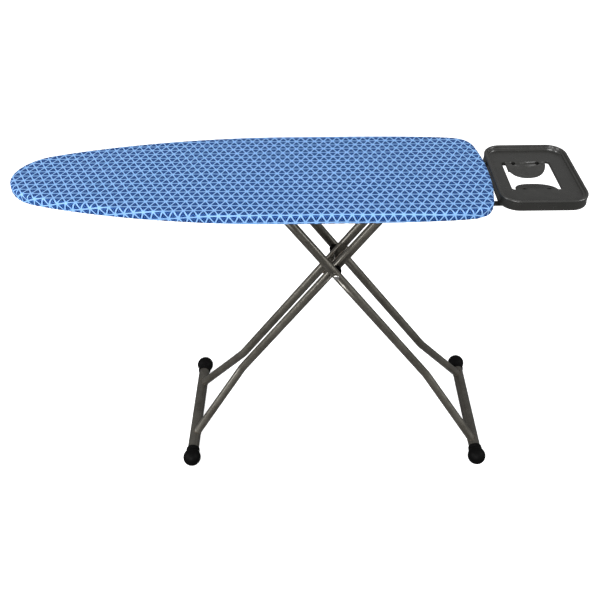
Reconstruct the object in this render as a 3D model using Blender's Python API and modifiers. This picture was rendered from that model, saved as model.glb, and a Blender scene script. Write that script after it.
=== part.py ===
"""Folding ironing board on scissor legs, with an iron rest at its tail end.

X runs along the board from nose (-) to iron rest (+), Y across it, and Z up.
The origin lies on the floor, under the middle of the whole object.
"""

import math

import bmesh
import bpy
from mathutils import Matrix, Vector
from mathutils.geometry import interpolate_bezier

# Board, in metres
BOARD_LENGTH = 1.200
BOARD_HALF_WIDTH = 0.1935
BOARD_TOP = 0.914
NOSE_X = -0.710
COVER_THICKNESS = 0.0015
COVER_DEPTH = 0.025
COVER_LIP = 0.026
PAD_THICKNESS = 0.006
MESH_THICKNESS = 0.001
RIM_HEIGHT = 0.0134
RIM_FLANGE = 0.010
RIM_INSET = 0.0035
RIM_STEEL = 0.001
GAP = 0.0003

# Scissor legs
CROSS_X = 0.1113
CROSS_Z = 0.6385
LEG_ANGLE = math.radians(54.27)
BAR_Z = 0.026
TOP_AXLE_Z = 0.864
TUBE_RADIUS = 0.0125
TUBE_WALL = 0.0012
TUBE_SIDES = 14
TUBE_OVERRUN = 0.018
OUTER_Y = 0.0659
INNER_Y = 0.0318
BEND_AT = 0.480
BEND_RADIUS = 0.060
FLARE = 0.078
ROD_RADIUS = 0.004
ROD_HOLE_RADIUS = 0.0043
SLEEVE_RADIUS = 0.007
WASHER_RADIUS = 0.009
SPACER_RADIUS = 0.015
RIVET_HEAD_RADIUS = 0.008

# Feet
BAR_RADIUS = 0.0175
BAR_WALL = 0.0015
BAR_HALF_LENGTH = 0.186
CAP_BALL_RADIUS = 0.027
CAP_BALL_Y = 0.1998
CAP_COLLAR_RADIUS = 0.0202
CAP_COLLAR_END = 0.033

# Slide rails, cross strips and height rack
RAIL_Y = 0.084
RAIL_STEEL = 0.002
RAIL_FLANGE = 0.022
RAIL_BOTTOM = 0.852
STRIP_THICKNESS = 0.003
STRIP_WIDTH = 0.020
FOLDED_ANGLE = math.radians(3.27)
RACK_PIN_Z = 0.880
NOTCH_PITCH = 0.016
NOTCH_COUNT = 7
TOOTH_HEIGHT = 0.006
RACK_THICKNESS = 0.003

# Iron rest
TRAY_X = (0.4963, 0.7100)
TRAY_HALF_Y = 0.138
TRAY_CORNER = 0.047
TRAY_TOP = 0.911
TRAY_FLOOR = 0.900
TRAY_BOTTOM = 0.884
TRAY_WALL = 0.002
OPENING_X = (0.5363, 0.6578)
OPENING_HALF_Y = 0.0665
OPENING_CORNER = 0.007
LOBE_WIDTH = 0.102
LOBE_DEPTH = 0.0551
LOBE_SLOPE = math.radians(17)
LOBE_ROOT_Y = OPENING_HALF_Y + 0.0006
LOBE_ROOT_Z = TRAY_FLOOR - 0.0013
LOBE_THICKNESS = 0.0024
BOSS_RADIUS = 0.0070
RECESS_RADIUS = 0.0046
SCREW_SEAT = 0.0025
ARM_Y = 0.0955
ARM_TOP = 0.8805
ARM_STEEL = 0.003
SCREW_X = (0.5665, 0.6275)
SCREW_Y = 0.0615

# Worked out from the dimensions above
LINK = (TOP_AXLE_Z - CROSS_Z) / math.sin(LEG_ANGLE)
LOWER_LEG = (CROSS_Z - BAR_Z) / math.sin(LEG_ANGLE)
HINGE_X = CROSS_X + LINK * math.cos(LEG_ANGLE)
AXLE_X = CROSS_X - LINK * math.cos(LEG_ANGLE)
FOLDED_AXLE_X = HINGE_X - 2 * LINK * math.cos(FOLDED_ANGLE)
COVER_BOTTOM = BOARD_TOP - COVER_DEPTH
PAD_TOP = BOARD_TOP - COVER_THICKNESS - GAP
MESH_TOP = PAD_TOP - PAD_THICKNESS - GAP
RIM_TOP = MESH_TOP - MESH_THICKNESS - GAP
RIM_BOTTOM = RIM_TOP - RIM_HEIGHT
STRIP_TOP = RIM_TOP - RIM_STEEL - GAP
STRIP_BOTTOM = STRIP_TOP - STRIP_THICKNESS
RAIL_TOP = STRIP_BOTTOM - GAP
STRIP_X = {"nose": CROSS_X - 0.42, "middle": CROSS_X + 0.05, "tail": CROSS_X + 0.25}
RACK_PIN_X = STRIP_X["middle"]
RACK_TIP_Z = TOP_AXLE_Z + ROD_RADIUS + 0.0005
ENDS = {"front": -1, "rear": 1}

for old in list(bpy.data.objects):
    bpy.data.objects.remove(old, do_unlink=True)
BOARD = bpy.data.collections.new("ironing_board")
CUTTERS = bpy.data.collections.new("cutters")
for made in (BOARD, CUTTERS):
    bpy.context.scene.collection.children.link(made)


def material(name, colour, metallic, roughness):
    """A Principled BSDF material of one colour."""
    made = bpy.data.materials.new(name)
    made.use_nodes = True
    shader = made.node_tree.nodes["Principled BSDF"]
    shader.inputs["Base Color"].default_value = (*colour, 1)
    shader.inputs["Metallic"].default_value = metallic
    shader.inputs["Roughness"].default_value = roughness
    return made


COLOURS = {
    "cotton": ((0.06, 0.24, 0.62), 0.0, 0.7),
    "foam": ((0.82, 0.82, 0.78), 0.0, 0.95),
    "bare_steel": ((0.62, 0.62, 0.60), 1.0, 0.35),
    "painted_steel": ((0.085, 0.078, 0.066), 0.6, 0.4),
    "tray_plastic": ((0.065, 0.065, 0.062), 0.0, 0.4),
    "black_plastic": ((0.012, 0.012, 0.013), 0.0, 0.45),
}


# ---------------------------------------------------------------- shape tools


def place(obj, finish, parent=None):
    """Gives the object its material, puts it in its collection and parents it."""
    obj.data.materials.append(material(obj.name, *COLOURS[finish]))
    BOARD.objects.link(obj)
    obj.parent = parent
    return obj


def hide_cutter(obj, parent=None):
    """Keeps a helper shape out of the object itself."""
    CUTTERS.objects.link(obj)
    obj.hide_render = True
    obj.display_type = "WIRE"
    obj.parent = parent
    return obj


def combine(obj, other, operation="DIFFERENCE"):
    """Cuts another object out of this one, or joins it on."""
    boolean = obj.modifiers.new(other.name, "BOOLEAN")
    boolean.operation = operation
    boolean.solver = "EXACT"
    boolean.object = other
    return obj


def object_of(name, bm, smooth=None):
    """An object from a bmesh; smooth is the sharp-edge angle in degrees."""
    bmesh.ops.recalc_face_normals(bm, faces=bm.faces)
    mesh = bpy.data.meshes.new(name)
    bm.to_mesh(mesh)
    bm.free()
    if smooth is not None:
        mesh.shade_smooth()
        mesh.set_sharp_from_angle(angle=math.radians(smooth))
    return bpy.data.objects.new(name, mesh)


def box(name, low, high):
    """A box between two corners."""
    bm = bmesh.new()
    bmesh.ops.create_cube(bm, size=1)
    size = Vector(high) - Vector(low)
    middle = (Vector(high) + Vector(low)) / 2
    stretch = Matrix.Translation(middle) @ Matrix.Diagonal((*size, 1))
    bmesh.ops.transform(bm, matrix=stretch, verts=bm.verts)
    return object_of(name, bm)


def cylinder(name, radius, start, end, sides=14):
    """A round bar between two points."""
    along = Vector(end) - Vector(start)
    turn = along.to_track_quat("Z", "Y").to_matrix().to_4x4()
    bm = bmesh.new()
    bmesh.ops.create_cone(
        bm,
        cap_ends=True,
        segments=sides,
        radius1=radius,
        radius2=radius,
        depth=along.length,
        matrix=Matrix.Translation((Vector(start) + Vector(end)) / 2) @ turn,
    )
    return object_of(name, bm, smooth=40)


def turned(name, profile, side=1, sides=24, loop=False):
    """A turned shape along Y, from (radius, y) points; side -1 mirrors it to the front."""
    mesh = bpy.data.meshes.new(name)
    last = len(profile) if loop else len(profile) - 1
    edges = [(i, (i + 1) % len(profile)) for i in range(last)]
    mesh.from_pydata([(r, 0, h) for r, h in profile], edges, [])
    obj = bpy.data.objects.new(name, mesh)
    screw = obj.modifiers.new("turn", "SCREW")
    screw.steps = sides
    screw.render_steps = sides
    screw.use_merge_vertices = True
    screw.merge_threshold = 0.00001
    screw.use_smooth_shade = True
    obj.rotation_euler.x = -side * math.pi / 2
    return obj


def ring_profile(inner, outer, low, high):
    """The section of a plain ring or sleeve, as a loop for turned()."""
    return [(outer, high), (outer, low), (inner, low), (inner, high)]


def extruded(name, outline, thickness):
    """A flat outline extruded evenly about its own plane, with each cap as one face."""
    bm = bmesh.new()
    face = bm.faces.new([bm.verts.new((x, y, -thickness / 2)) for x, y in outline])
    raised = bmesh.ops.extrude_face_region(bm, geom=[face])["geom"]
    corners = [item for item in raised if isinstance(item, bmesh.types.BMVert)]
    bmesh.ops.translate(bm, vec=(0, 0, thickness), verts=corners)
    return object_of(name, bm)


def plate(name, outline, thickness, holes):
    """A flat plate with holes: a filled 2D curve, extruded evenly about its own plane."""
    curve = bpy.data.curves.new(name, "CURVE")
    curve.dimensions = "2D"
    curve.fill_mode = "BOTH"
    curve.extrude = thickness / 2
    for loop in (outline, *holes):
        spline = curve.splines.new("POLY")
        spline.points.add(len(loop) - 1)
        spline.use_cyclic_u = True
        for point, (x, y) in zip(spline.points, loop):
            point.co = (x, y, 0, 1)
    return mesh_from_curve(name, curve)


def circle(x, y, radius, sides=12):
    """The outline of a round hole."""
    angles = [2 * math.pi * i / sides for i in range(sides)]
    return [(x + radius * math.cos(a), y + radius * math.sin(a)) for a in angles]


def mesh_from_curve(name, curve):
    """Turns a curve into a mesh object with its caps welded on."""
    source = bpy.data.objects.new(name + "_curve", curve)
    bpy.context.scene.collection.objects.link(source)
    graph = bpy.context.evaluated_depsgraph_get()
    mesh = bpy.data.meshes.new_from_object(source.evaluated_get(graph))
    mesh.name = name
    bpy.data.objects.remove(source)
    bm = bmesh.new()
    bm.from_mesh(mesh)
    bmesh.ops.remove_doubles(bm, verts=bm.verts, dist=0.00001)
    bm.to_mesh(mesh)
    bm.free()
    return bpy.data.objects.new(name, mesh)


def swept(name, path, radius, capped=True, resolution=2):
    """A round wire or tube along a list of points."""
    curve = bpy.data.curves.new(name, "CURVE")
    curve.dimensions = "3D"
    curve.bevel_depth = radius
    curve.bevel_resolution = resolution
    curve.use_fill_caps = capped
    spline = curve.splines.new("POLY")
    spline.points.add(len(path) - 1)
    for point, at in zip(spline.points, path):
        point.co = (*at, 1)
    obj = mesh_from_curve(name, curve)
    obj.data.shade_smooth()
    obj.data.set_sharp_from_angle(angle=math.radians(50))
    return obj


def pipe(name, path, radius, wall):
    """An open-ended tube with a wall, along a list of points."""
    obj = swept(name, path, radius, capped=False, resolution=TUBE_SIDES // 2 - 2)
    solidify = obj.modifiers.new("wall", "SOLIDIFY")
    solidify.thickness = wall
    solidify.offset = -1
    return obj


def lofted(name, rings, closed_start, closed_end, thickness=0, smooth=35):
    """A surface through equal rings of points, capped where asked, with an optional wall."""
    bm = bmesh.new()
    rows = [[bm.verts.new(point) for point in ring] for ring in rings]
    for low, high in zip(rows, rows[1:]):
        for i in range(len(low)):
            j = (i + 1) % len(low)
            bm.faces.new((low[i], low[j], high[j], high[i]))
    if closed_start:
        bm.faces.new(rows[0][::-1])
    if closed_end:
        bm.faces.new(rows[-1])
    obj = object_of(name, bm, smooth)
    if thickness:
        solidify = obj.modifiers.new("wall", "SOLIDIFY")
        solidify.thickness = thickness
        solidify.offset = -1
        solidify.use_even_offset = True
    return obj


# ---------------------------------------------------------------- outlines


def half_outline():
    """Knots of the board's outline from nose to tail: place, handle direction and lengths."""
    return [
        ((0, 0), (0, 1), 0, 0.050),
        ((0.075, 0.100), (0.94, 0.34), 0.036, 0.150),
        ((0.680, BOARD_HALF_WIDTH), (1, 0), 0.220, 0.170),
        ((1.105, 0.1825), (0.99, -0.11), 0.110, 0.036),
        ((1.187, 0.125), (0.22, -0.97), 0.040, 0.035),
        ((BOARD_LENGTH, 0), (0, -1), 0.060, 0),
    ]


def board_points(inset=0.0, steps=6):
    """The board's outline seen from above, moved inward by inset."""
    half = []
    knots = half_outline()
    for (at, way, _, ahead), (to, next_way, behind, _) in zip(knots, knots[1:]):
        start = Vector((*at, 0))
        end = Vector((*to, 0))
        out = start + Vector((*way, 0)) * ahead
        back = end - Vector((*next_way, 0)) * behind
        half += interpolate_bezier(start, out, back, end, steps)[:-1]
    half.append(Vector((BOARD_LENGTH, 0, 0)))
    lower = [Vector((p.x, -p.y, 0)) for p in half[1:-1]]
    loop = half[::-1] + lower
    points = []
    for i, point in enumerate(loop):
        before = loop[i - 1]
        after = loop[(i + 1) % len(loop)]
        along = (after - before).normalized()
        inward = Vector((-along.y, along.x, 0))
        moved = point + inward * inset
        points.append((moved.x + NOSE_X, moved.y))
    return points


def board_ring(inset, z):
    """One ring of the board's outline at a height."""
    return [(x, y, z) for x, y in board_points(inset)]


def half_width_at(x, inset):
    """Half the board's width at a place along it."""
    best = 0
    loop = board_points(inset)
    for (x0, y0), (x1, y1) in zip(loop, loop[1:]):
        if min(x0, x1) <= x <= max(x0, x1) and x0 != x1:
            best = max(best, y0 + (y1 - y0) * (x - x0) / (x1 - x0))
    return best


def rounded_box_ring(x_range, half_y, corner, inset, z, steps=4):
    """One ring of a rounded rectangle, moved inward by inset, at a height."""
    radius = max(corner - inset, 0.001)
    points = []
    for quarter, (sx, sy) in enumerate(((1, 1), (-1, 1), (-1, -1), (1, -1))):
        cx = (x_range[1] - corner) if sx > 0 else (x_range[0] + corner)
        cy = sy * (half_y - corner)
        for step in range(steps + 1):
            angle = math.pi / 2 * (quarter + step / steps)
            points.append((cx + radius * math.cos(angle), cy + radius * math.sin(angle), z))
    return points


# ---------------------------------------------------------------- board


def ironing_cover():
    """The fitted cloth cover: a top, a side and a hem turned under the rim."""
    profile = [
        (COVER_LIP, 0),
        (0.005, 0),
        (0.0012, 0.0013),
        (0, 0.0045),
        (0, COVER_DEPTH - 0.0065),
        (0.0015, COVER_DEPTH - 0.0025),
        (0.005, COVER_DEPTH - 0.0005),
        (0.011, COVER_DEPTH),
    ]
    rings = [board_ring(inset, COVER_BOTTOM + height) for inset, height in profile]
    place(lofted("ironing_cover", rings, False, True, COVER_THICKNESS), "cotton")


def foam_pad():
    """The foam pad under the cover, with its top edge rounded off."""
    bottom = PAD_TOP - PAD_THICKNESS
    rings = [
        board_ring(0.0045, bottom),
        board_ring(0.0045, bottom + 0.003),
        board_ring(0.0125, PAD_TOP),
    ]
    place(lofted("foam_pad", rings, True, True), "foam")


def mesh_top():
    """The steel sheet that carries the pad and lets steam through."""
    rings = [board_ring(0.004, MESH_TOP - MESH_THICKNESS), board_ring(0.004, MESH_TOP)]
    place(lofted("mesh_top", rings, True, True), "bare_steel")


def rim_frame():
    """The channel-shaped steel rim, open towards the middle of the board."""
    profile = [
        (RIM_INSET + RIM_FLANGE, RIM_BOTTOM),
        (RIM_INSET, RIM_BOTTOM),
        (RIM_INSET, RIM_TOP),
        (RIM_INSET + RIM_FLANGE, RIM_TOP),
    ]
    rings = [board_ring(inset, z) for inset, z in profile]
    place(lofted("rim_frame", rings, False, False, RIM_STEEL), "bare_steel")


def cross_strips():
    """Three flat strips across the board, with their ends inside the rim's channel."""
    for name, x in STRIP_X.items():
        edges = (x - STRIP_WIDTH / 2, x + STRIP_WIDTH / 2)
        reach = min(half_width_at(edge, RIM_INSET + RIM_STEEL) for edge in edges) - 0.001
        low = (x - STRIP_WIDTH / 2, -reach, STRIP_BOTTOM)
        high = (x + STRIP_WIDTH / 2, reach, STRIP_TOP)
        place(box(f"cross_strip_{name}", low, high), "bare_steel")


def slide_rails():
    """Two angle rails; the long slot guides the slide axle, the hole holds the hinge rod."""
    start = STRIP_X["nose"] - STRIP_WIDTH / 2
    end = STRIP_X["tail"] + STRIP_WIDTH
    outer = RAIL_Y + RAIL_STEEL / 2
    inner = RAIL_Y - RAIL_STEEL / 2
    flange = outer - RAIL_FLANGE
    lip = RAIL_TOP - RAIL_STEEL
    section = [
        (outer, RAIL_TOP),
        (flange, RAIL_TOP),
        (flange, lip),
        (inner, lip),
        (inner, RAIL_BOTTOM),
        (outer, RAIL_BOTTOM),
    ]
    for name, side in ENDS.items():
        rail = extruded(f"slide_rail_{name}", section, end - start)
        rail.data.transform(Matrix(((0, 0, 1, 0), (side, 0, 0, 0), (0, 1, 0, 0), (0, 0, 0, 1))))
        if side < 0:
            rail.data.flip_normals()
        rail.location.x = (start + end) / 2
        low = (FOLDED_AXLE_X - 0.0055, side * RAIL_Y - 0.005, TOP_AXLE_Z - ROD_HOLE_RADIUS)
        high = (AXLE_X + 0.0048, side * RAIL_Y + 0.005, TOP_AXLE_Z + ROD_HOLE_RADIUS)
        combine(rail, hide_cutter(box(f"rail_slot_{name}", low, high)))
        ends = [(HINGE_X, side * RAIL_Y + offset, TOP_AXLE_Z) for offset in (-0.005, 0.005)]
        combine(rail, hide_cutter(cylinder(f"rail_hole_{name}", ROD_HOLE_RADIUS, *ends)))
        place(rail, "painted_steel")


def hinge_rod():
    """The fixed rod that the inner legs hang from, with a push nut on each end."""
    reach = RAIL_Y + 0.006
    ends = [(HINGE_X, -reach, TOP_AXLE_Z), (HINGE_X, reach, TOP_AXLE_Z)]
    place(cylinder("hinge_rod", ROD_RADIUS, *ends), "bare_steel")
    for name, side in ENDS.items():
        nut = push_nut(f"hinge_nut_{name}", side)
        nut.location = (HINGE_X, 0, TOP_AXLE_Z)
        place(nut, "bare_steel")


def push_nut(name, side):
    """A domed push nut pressed on a rod's end, just outside a rail."""
    start = RAIL_Y + RAIL_STEEL / 2 + GAP
    profile = ring_profile(ROD_HOLE_RADIUS, 0.0085, start, start + 0.0015)
    profile[0:1] = [(0.0060, start + 0.0035), (0.0085, start + 0.0015)]
    profile[-1] = (ROD_HOLE_RADIUS, start + 0.0035)
    return turned(name, profile, side, sides=16, loop=True)


# ---------------------------------------------------------------- height rack


def rack_bracket():
    """A small clevis under the middle strip that carries the rack's pin."""
    ear = RACK_THICKNESS / 2 + 0.0005
    wall = 0.002
    outer = ear + wall
    foot = outer + 0.010
    low = RACK_PIN_Z - 0.006
    section = [
        (-foot, RAIL_TOP),
        (-foot, RAIL_TOP - wall),
        (-outer, RAIL_TOP - wall),
        (-outer, low),
        (-ear, low),
        (-ear, RAIL_TOP - 1.3 * wall),
        (ear, RAIL_TOP - 1.3 * wall),
        (ear, low),
        (outer, low),
        (outer, RAIL_TOP - wall),
        (foot, RAIL_TOP - wall),
        (foot, RAIL_TOP),
    ]
    bracket = extruded("rack_bracket", section, 0.016)
    bracket.data.transform(Matrix(((0, 0, 1, 0), (1, 0, 0, 0), (0, 1, 0, 0), (0, 0, 0, 1))))
    bracket.location.x = RACK_PIN_X
    ends = [(RACK_PIN_X, y, RACK_PIN_Z) for y in (-0.01, 0.01)]
    combine(bracket, hide_cutter(cylinder("rack_bracket_hole", 0.0028, *ends, sides=12)))
    place(bracket, "bare_steel")


def rack_pin():
    """The pin that the height rack turns on, with a head at each end."""
    profile = [
        (0, 0.0075),
        (0.004, 0.0075),
        (0.004, 0.0058),
        (0.0025, 0.0058),
        (0.0025, -0.0058),
        (0.004, -0.0058),
        (0.004, -0.0075),
        (0, -0.0075),
    ]
    pin = turned("rack_pin", profile, sides=12)
    pin.location = (RACK_PIN_X, 0, RACK_PIN_Z)
    place(pin, "bare_steel")


def rack_spring():
    """A torsion spring beside the bracket: a coil round the pin's line with a leg each way."""
    wire = 0.0006
    radius = 0.0062
    turns = 3
    steps = 8
    start = 0.0105
    path = [(0.016, start - 0.0016, 0.0150)]
    for i in range(turns * steps + 1):
        angle = math.radians(70) - 2 * math.pi * i / steps
        path.append((radius * math.cos(angle), start + 0.0016 * i / steps, radius * math.sin(angle)))
    path.append((0.026, start + 0.0016 * turns, 0.0060))
    spring = swept("rack_spring", path, wire)
    spring.location = (RACK_PIN_X, 0, RACK_PIN_Z)
    place(spring, "bare_steel")


def height_rack(pivot):
    """The toothed plate that holds the slide axle at its height, in the pivot's own frame."""
    axle = AXLE_X - RACK_PIN_X
    tip = RACK_TIP_Z - RACK_PIN_Z
    root = tip + TOOTH_HEIGHT
    top = root + 0.014
    far = axle - NOTCH_COUNT * NOTCH_PITCH
    end = STRIP_X["nose"] - 0.030 - RACK_PIN_X
    half = 0.005
    outline = [(0.008, 0.006), (0.008, -0.006), (-0.020, -0.006), (axle + 0.030, root)]
    for notch in range(NOTCH_COUNT):
        at = axle - notch * NOTCH_PITCH
        outline += [(at + 0.0095, tip), (at + half + 0.0005, tip), (at + half, root), (at - half, root)]
    outline += [
        (far + 0.0105, tip),
        (far + 0.004, tip),
        (far - 0.010, tip + 0.0012),
        (end, tip + 0.0012),
        (end, tip + 0.0092),
        (far - 0.020, tip + 0.0092),
        (far, top),
        (axle + 0.040, top),
        (-0.020, 0.0085),
    ]
    rack = plate("height_rack", outline, RACK_THICKNESS, [circle(0, 0, 0.0028)])
    rack.data.transform(Matrix.Rotation(math.pi / 2, 4, "X"))
    place(rack, "bare_steel", pivot)
    rod_x = end - 0.0045
    rod_z = tip + 0.0052
    rod = cylinder("release_rod", 0.0035, (rod_x, -0.122, rod_z), (rod_x, 0.006, rod_z), sides=12)
    place(rod, "bare_steel", pivot)
    grip_profile = [
        (0.0095, -0.044),
        (0.0105, -0.048),
        (0.0085, -0.066),
        (0.0085, -0.100),
        (0.0105, -0.120),
        (0.0085, -0.126),
        (0.0038, -0.126),
        (0.0038, -0.044),
    ]
    grip = turned("release_grip", grip_profile, sides=16, loop=True)
    grip.location = (rod_x, 0, rod_z)
    place(grip, "black_plastic", pivot)


# ---------------------------------------------------------------- iron rest


def iron_rest_arms():
    """Two cranked steel arms from the tail strip to under the tray, each with an ear for its screws."""
    start = STRIP_X["tail"] - 0.008
    mid = ARM_TOP - ARM_STEEL / 2
    high = RAIL_TOP - ARM_STEEL / 2
    path = [(start, high), (start + 0.026, high), (start + 0.044, mid), (SCREW_X[1] + 0.011, mid)]
    outline = strap_outline(path, ARM_STEEL)
    for name, side in ENDS.items():
        arm = extruded(f"iron_rest_arm_{name}", outline, 0.018)
        arm.data.transform(Matrix.Rotation(math.pi / 2, 4, "X"))
        arm.location.y = side * ARM_Y
        inner = side * (SCREW_Y - 0.009)
        outer = side * (ARM_Y - 0.005)
        low = (SCREW_X[0] - 0.011, min(inner, outer), ARM_TOP - ARM_STEEL + 0.0001)
        high_corner = (SCREW_X[1] + 0.0105, max(inner, outer), ARM_TOP - 0.0001)
        ear = hide_cutter(box(f"arm_ear_{name}", low, high_corner))
        combine(arm, ear, "UNION")
        for number, x in enumerate(SCREW_X):
            ends = [(x, side * SCREW_Y, ARM_TOP - 0.01), (x, side * SCREW_Y, ARM_TOP + 0.01)]
            combine(arm, hide_cutter(cylinder(f"arm_hole_{name}_{number}", 0.0024, *ends, sides=12)))
        place(arm, "painted_steel")


def strap_outline(path, thickness):
    """The outline of a bent strap of even thickness whose centre line follows a path."""
    points = [Vector(p) for p in path]
    sides = ([], [])
    for i, point in enumerate(points):
        before = (point - points[i - 1]).normalized() if i else (points[1] - point).normalized()
        after = (points[i + 1] - point).normalized() if i + 1 < len(points) else before
        across = Vector((-(before + after).y, (before + after).x)).normalized()
        reach = thickness / 2 / across.dot(Vector((-before.y, before.x)))
        sides[0].append(point + across * reach)
        sides[1].append(point - across * reach)
    return [tuple(p) for p in sides[0] + sides[1][::-1]]


def lobe_outline():
    """The plan of a mounting lobe: a straight root and a rounded end."""
    half = LOBE_WIDTH / 2
    points = []
    for step in range(13):
        angle = math.pi * step / 12
        across = math.copysign(abs(math.cos(angle)) ** 0.85, math.cos(angle))
        points.append((half * across, LOBE_DEPTH * math.sin(angle) ** 0.85))
    return points


def iron_rest_tray():
    """The moulded tray: a bead round it, a sunk floor, a middle opening and two sloping lobes."""
    profile = [
        (0, TRAY_BOTTOM),
        (0, TRAY_TOP - 0.004),
        (0.0012, TRAY_TOP - 0.001),
        (0.004, TRAY_TOP),
        (0.0068, TRAY_TOP - 0.001),
        (0.008, TRAY_TOP - 0.004),
        (0.0092, TRAY_FLOOR + 0.002),
        (0.012, TRAY_FLOOR),
    ]
    rings = [rounded_box_ring(TRAY_X, TRAY_HALF_Y, TRAY_CORNER, inset, z) for inset, z in profile]
    for inset, z in ((-0.002, TRAY_FLOOR), (0, TRAY_FLOOR - 0.001), (0, TRAY_FLOOR - 0.006)):
        rings.append(rounded_box_ring(OPENING_X, OPENING_HALF_Y, OPENING_CORNER, inset, z))
    tray = lofted("iron_rest_tray", rings, False, False, TRAY_WALL)
    middle = sum(OPENING_X) / 2
    drop = (LOBE_ROOT_Y - SCREW_Y) * math.tan(LOBE_SLOPE)
    for name, side in ENDS.items():
        lobe = extruded(f"lobe_{name}", lobe_outline(), LOBE_THICKNESS)
        lobe.rotation_euler = (-LOBE_SLOPE, 0, math.pi if side > 0 else 0)
        lobe.location = (middle, side * LOBE_ROOT_Y, LOBE_ROOT_Z)
        combine(tray, hide_cutter(lobe), "UNION")
        plate = LOBE_ROOT_Z - drop
        for number, x in enumerate(SCREW_X):
            y = side * SCREW_Y
            tag = f"{name}_{number}"
            boss = [(x, y, ARM_TOP + GAP), (x, y, plate)]
            combine(tray, hide_cutter(cylinder(f"boss_{tag}", BOSS_RADIUS, *boss)), "UNION")
            recess = [(x, y, ARM_TOP + GAP + SCREW_SEAT), (x, y, plate + 0.01)]
            combine(tray, hide_cutter(cylinder(f"recess_{tag}", RECESS_RADIUS, *recess)))
            bore = [(x, y, ARM_TOP - 0.01), (x, y, ARM_TOP + 0.01)]
            combine(tray, hide_cutter(cylinder(f"bore_{tag}", 0.0024, *bore, sides=12)))
    place(tray, "tray_plastic")


def tray_screws():
    """Four pan-head screws that hold the tray on its arms."""
    seat = ARM_TOP + GAP + SCREW_SEAT + GAP
    profile = [
        (0, 0.0026),
        (0.0028, 0.0024),
        (0.0040, 0.0012),
        (0.0040, 0),
        (0.0020, 0),
        (0.0020, -0.0105),
        (0, -0.0120),
    ]
    number = 0
    for side in ENDS.values():
        for x in SCREW_X:
            number += 1
            screw = turned(f"tray_screw_{number}", profile, sides=12)
            screw.rotation_euler.x = 0
            screw.location = (x, side * SCREW_Y, seat)
            place(screw, "bare_steel")


# ---------------------------------------------------------------- legs


def leg_pivot(name, x, z, angle):
    """An empty on a leg's joint axis, with its local X along the leg, towards the foot."""
    empty = bpy.data.objects.new(name, None)
    empty.location = (x, 0, z)
    empty.rotation_euler.y = angle
    BOARD.objects.link(empty)
    return empty


def leg_path(y, side, top, foot):
    """The centre line of a leg tube: straight, then a bend out towards the foot bar."""
    bend = top + LINK + BEND_AT
    lean = math.atan2(FLARE, foot - bend)
    tangent = BEND_RADIUS * math.tan(lean / 2)
    points = [(top - TUBE_OVERRUN, side * y, 0)]
    for step in range(4):
        angle = lean * step / 3
        along = bend - tangent + BEND_RADIUS * math.sin(angle)
        across = BEND_RADIUS * (1 - math.cos(angle))
        points.append((along, side * (y + across), 0))
    points.append((foot, side * (y + FLARE), 0))
    return points


def leg(kind, y, pivot, top, cross):
    """A pair of leg tubes with their foot bar, foot caps and end plugs, in the pivot's frame."""
    foot = cross + LOWER_LEG
    for name, side in ENDS.items():
        tube = pipe(f"{kind}_leg_tube_{name}", leg_path(y, side, top, foot), TUBE_RADIUS, TUBE_WALL)
        for where, at in (("top", top), ("cross", cross)):
            ends = [(at, side * y - 0.02, 0), (at, side * y + 0.02, 0)]
            hole = cylinder(f"{kind}_{where}_hole_{name}", ROD_HOLE_RADIUS, *ends)
            combine(tube, hide_cutter(hole, pivot))
        cope_ends = [(foot, side * (y + FLARE) - 0.03, 0), (foot, side * (y + FLARE) + 0.03, 0)]
        cope = cylinder(f"{kind}_cope_{name}", BAR_RADIUS + GAP, *cope_ends, sides=32)
        combine(tube, hide_cutter(cope, pivot))
        place(tube, "painted_steel", pivot)
        end_plug(f"{kind}_tube_plug_{name}", top - TUBE_OVERRUN, side * y, pivot)
        foot_cap(f"{kind}_foot_cap_{name}", side, foot, pivot)
    bar_ends = [(foot, -BAR_HALF_LENGTH, 0), (foot, BAR_HALF_LENGTH, 0)]
    bar = swept(f"{kind}_foot_bar", bar_ends, BAR_RADIUS, capped=False, resolution=12)
    wall = bar.modifiers.new("wall", "SOLIDIFY")
    wall.thickness = BAR_WALL
    wall.offset = -1
    place(bar, "painted_steel", pivot)


def end_plug(name, top, y, pivot):
    """A plastic plug in the upper end of a leg tube."""
    bore = TUBE_RADIUS - TUBE_WALL - GAP
    profile = [
        (0, 0.0030),
        (0.0085, 0.0026),
        (0.0115, 0.0008),
        (0.0115, GAP),
        (bore, GAP),
        (bore, -0.0080),
        (0, -0.0080),
    ]
    plug = turned(name, profile, sides=TUBE_SIDES)
    plug.rotation_euler = (0, -math.pi / 2, 0)
    plug.location = (top, y, 0)
    place(plug, "black_plastic", pivot)


def foot_cap(name, side, foot, pivot):
    """A black foot: a ball with a collar over the bar's end and a small flat to stand on."""
    collar_y = CAP_BALL_Y - CAP_COLLAR_END
    neck = math.asin((CAP_COLLAR_RADIUS + 0.0005) / CAP_BALL_RADIUS)
    profile = [(0, CAP_BALL_Y + CAP_BALL_RADIUS)]
    steps = 8
    for step in range(1, steps + 1):
        angle = (math.pi - neck) * step / steps
        along = CAP_BALL_Y + CAP_BALL_RADIUS * math.cos(angle)
        profile.append((CAP_BALL_RADIUS * math.sin(angle), along))
    profile += [
        (CAP_COLLAR_RADIUS, collar_y + 0.001),
        (CAP_COLLAR_RADIUS - 0.001, collar_y),
        (BAR_RADIUS + GAP, collar_y),
        (BAR_RADIUS + GAP, BAR_HALF_LENGTH + 0.0005),
        (0, BAR_HALF_LENGTH + 0.0005),
    ]
    cap = turned(name, profile, side, sides=20)
    cap.location.x = foot
    low = (-1, -0.3, -0.05)
    high = (1, 0.3, 0)
    combine(cap, hide_cutter(box(f"{name}_ground", low, high)))
    place(cap, "black_plastic", pivot)


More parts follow.
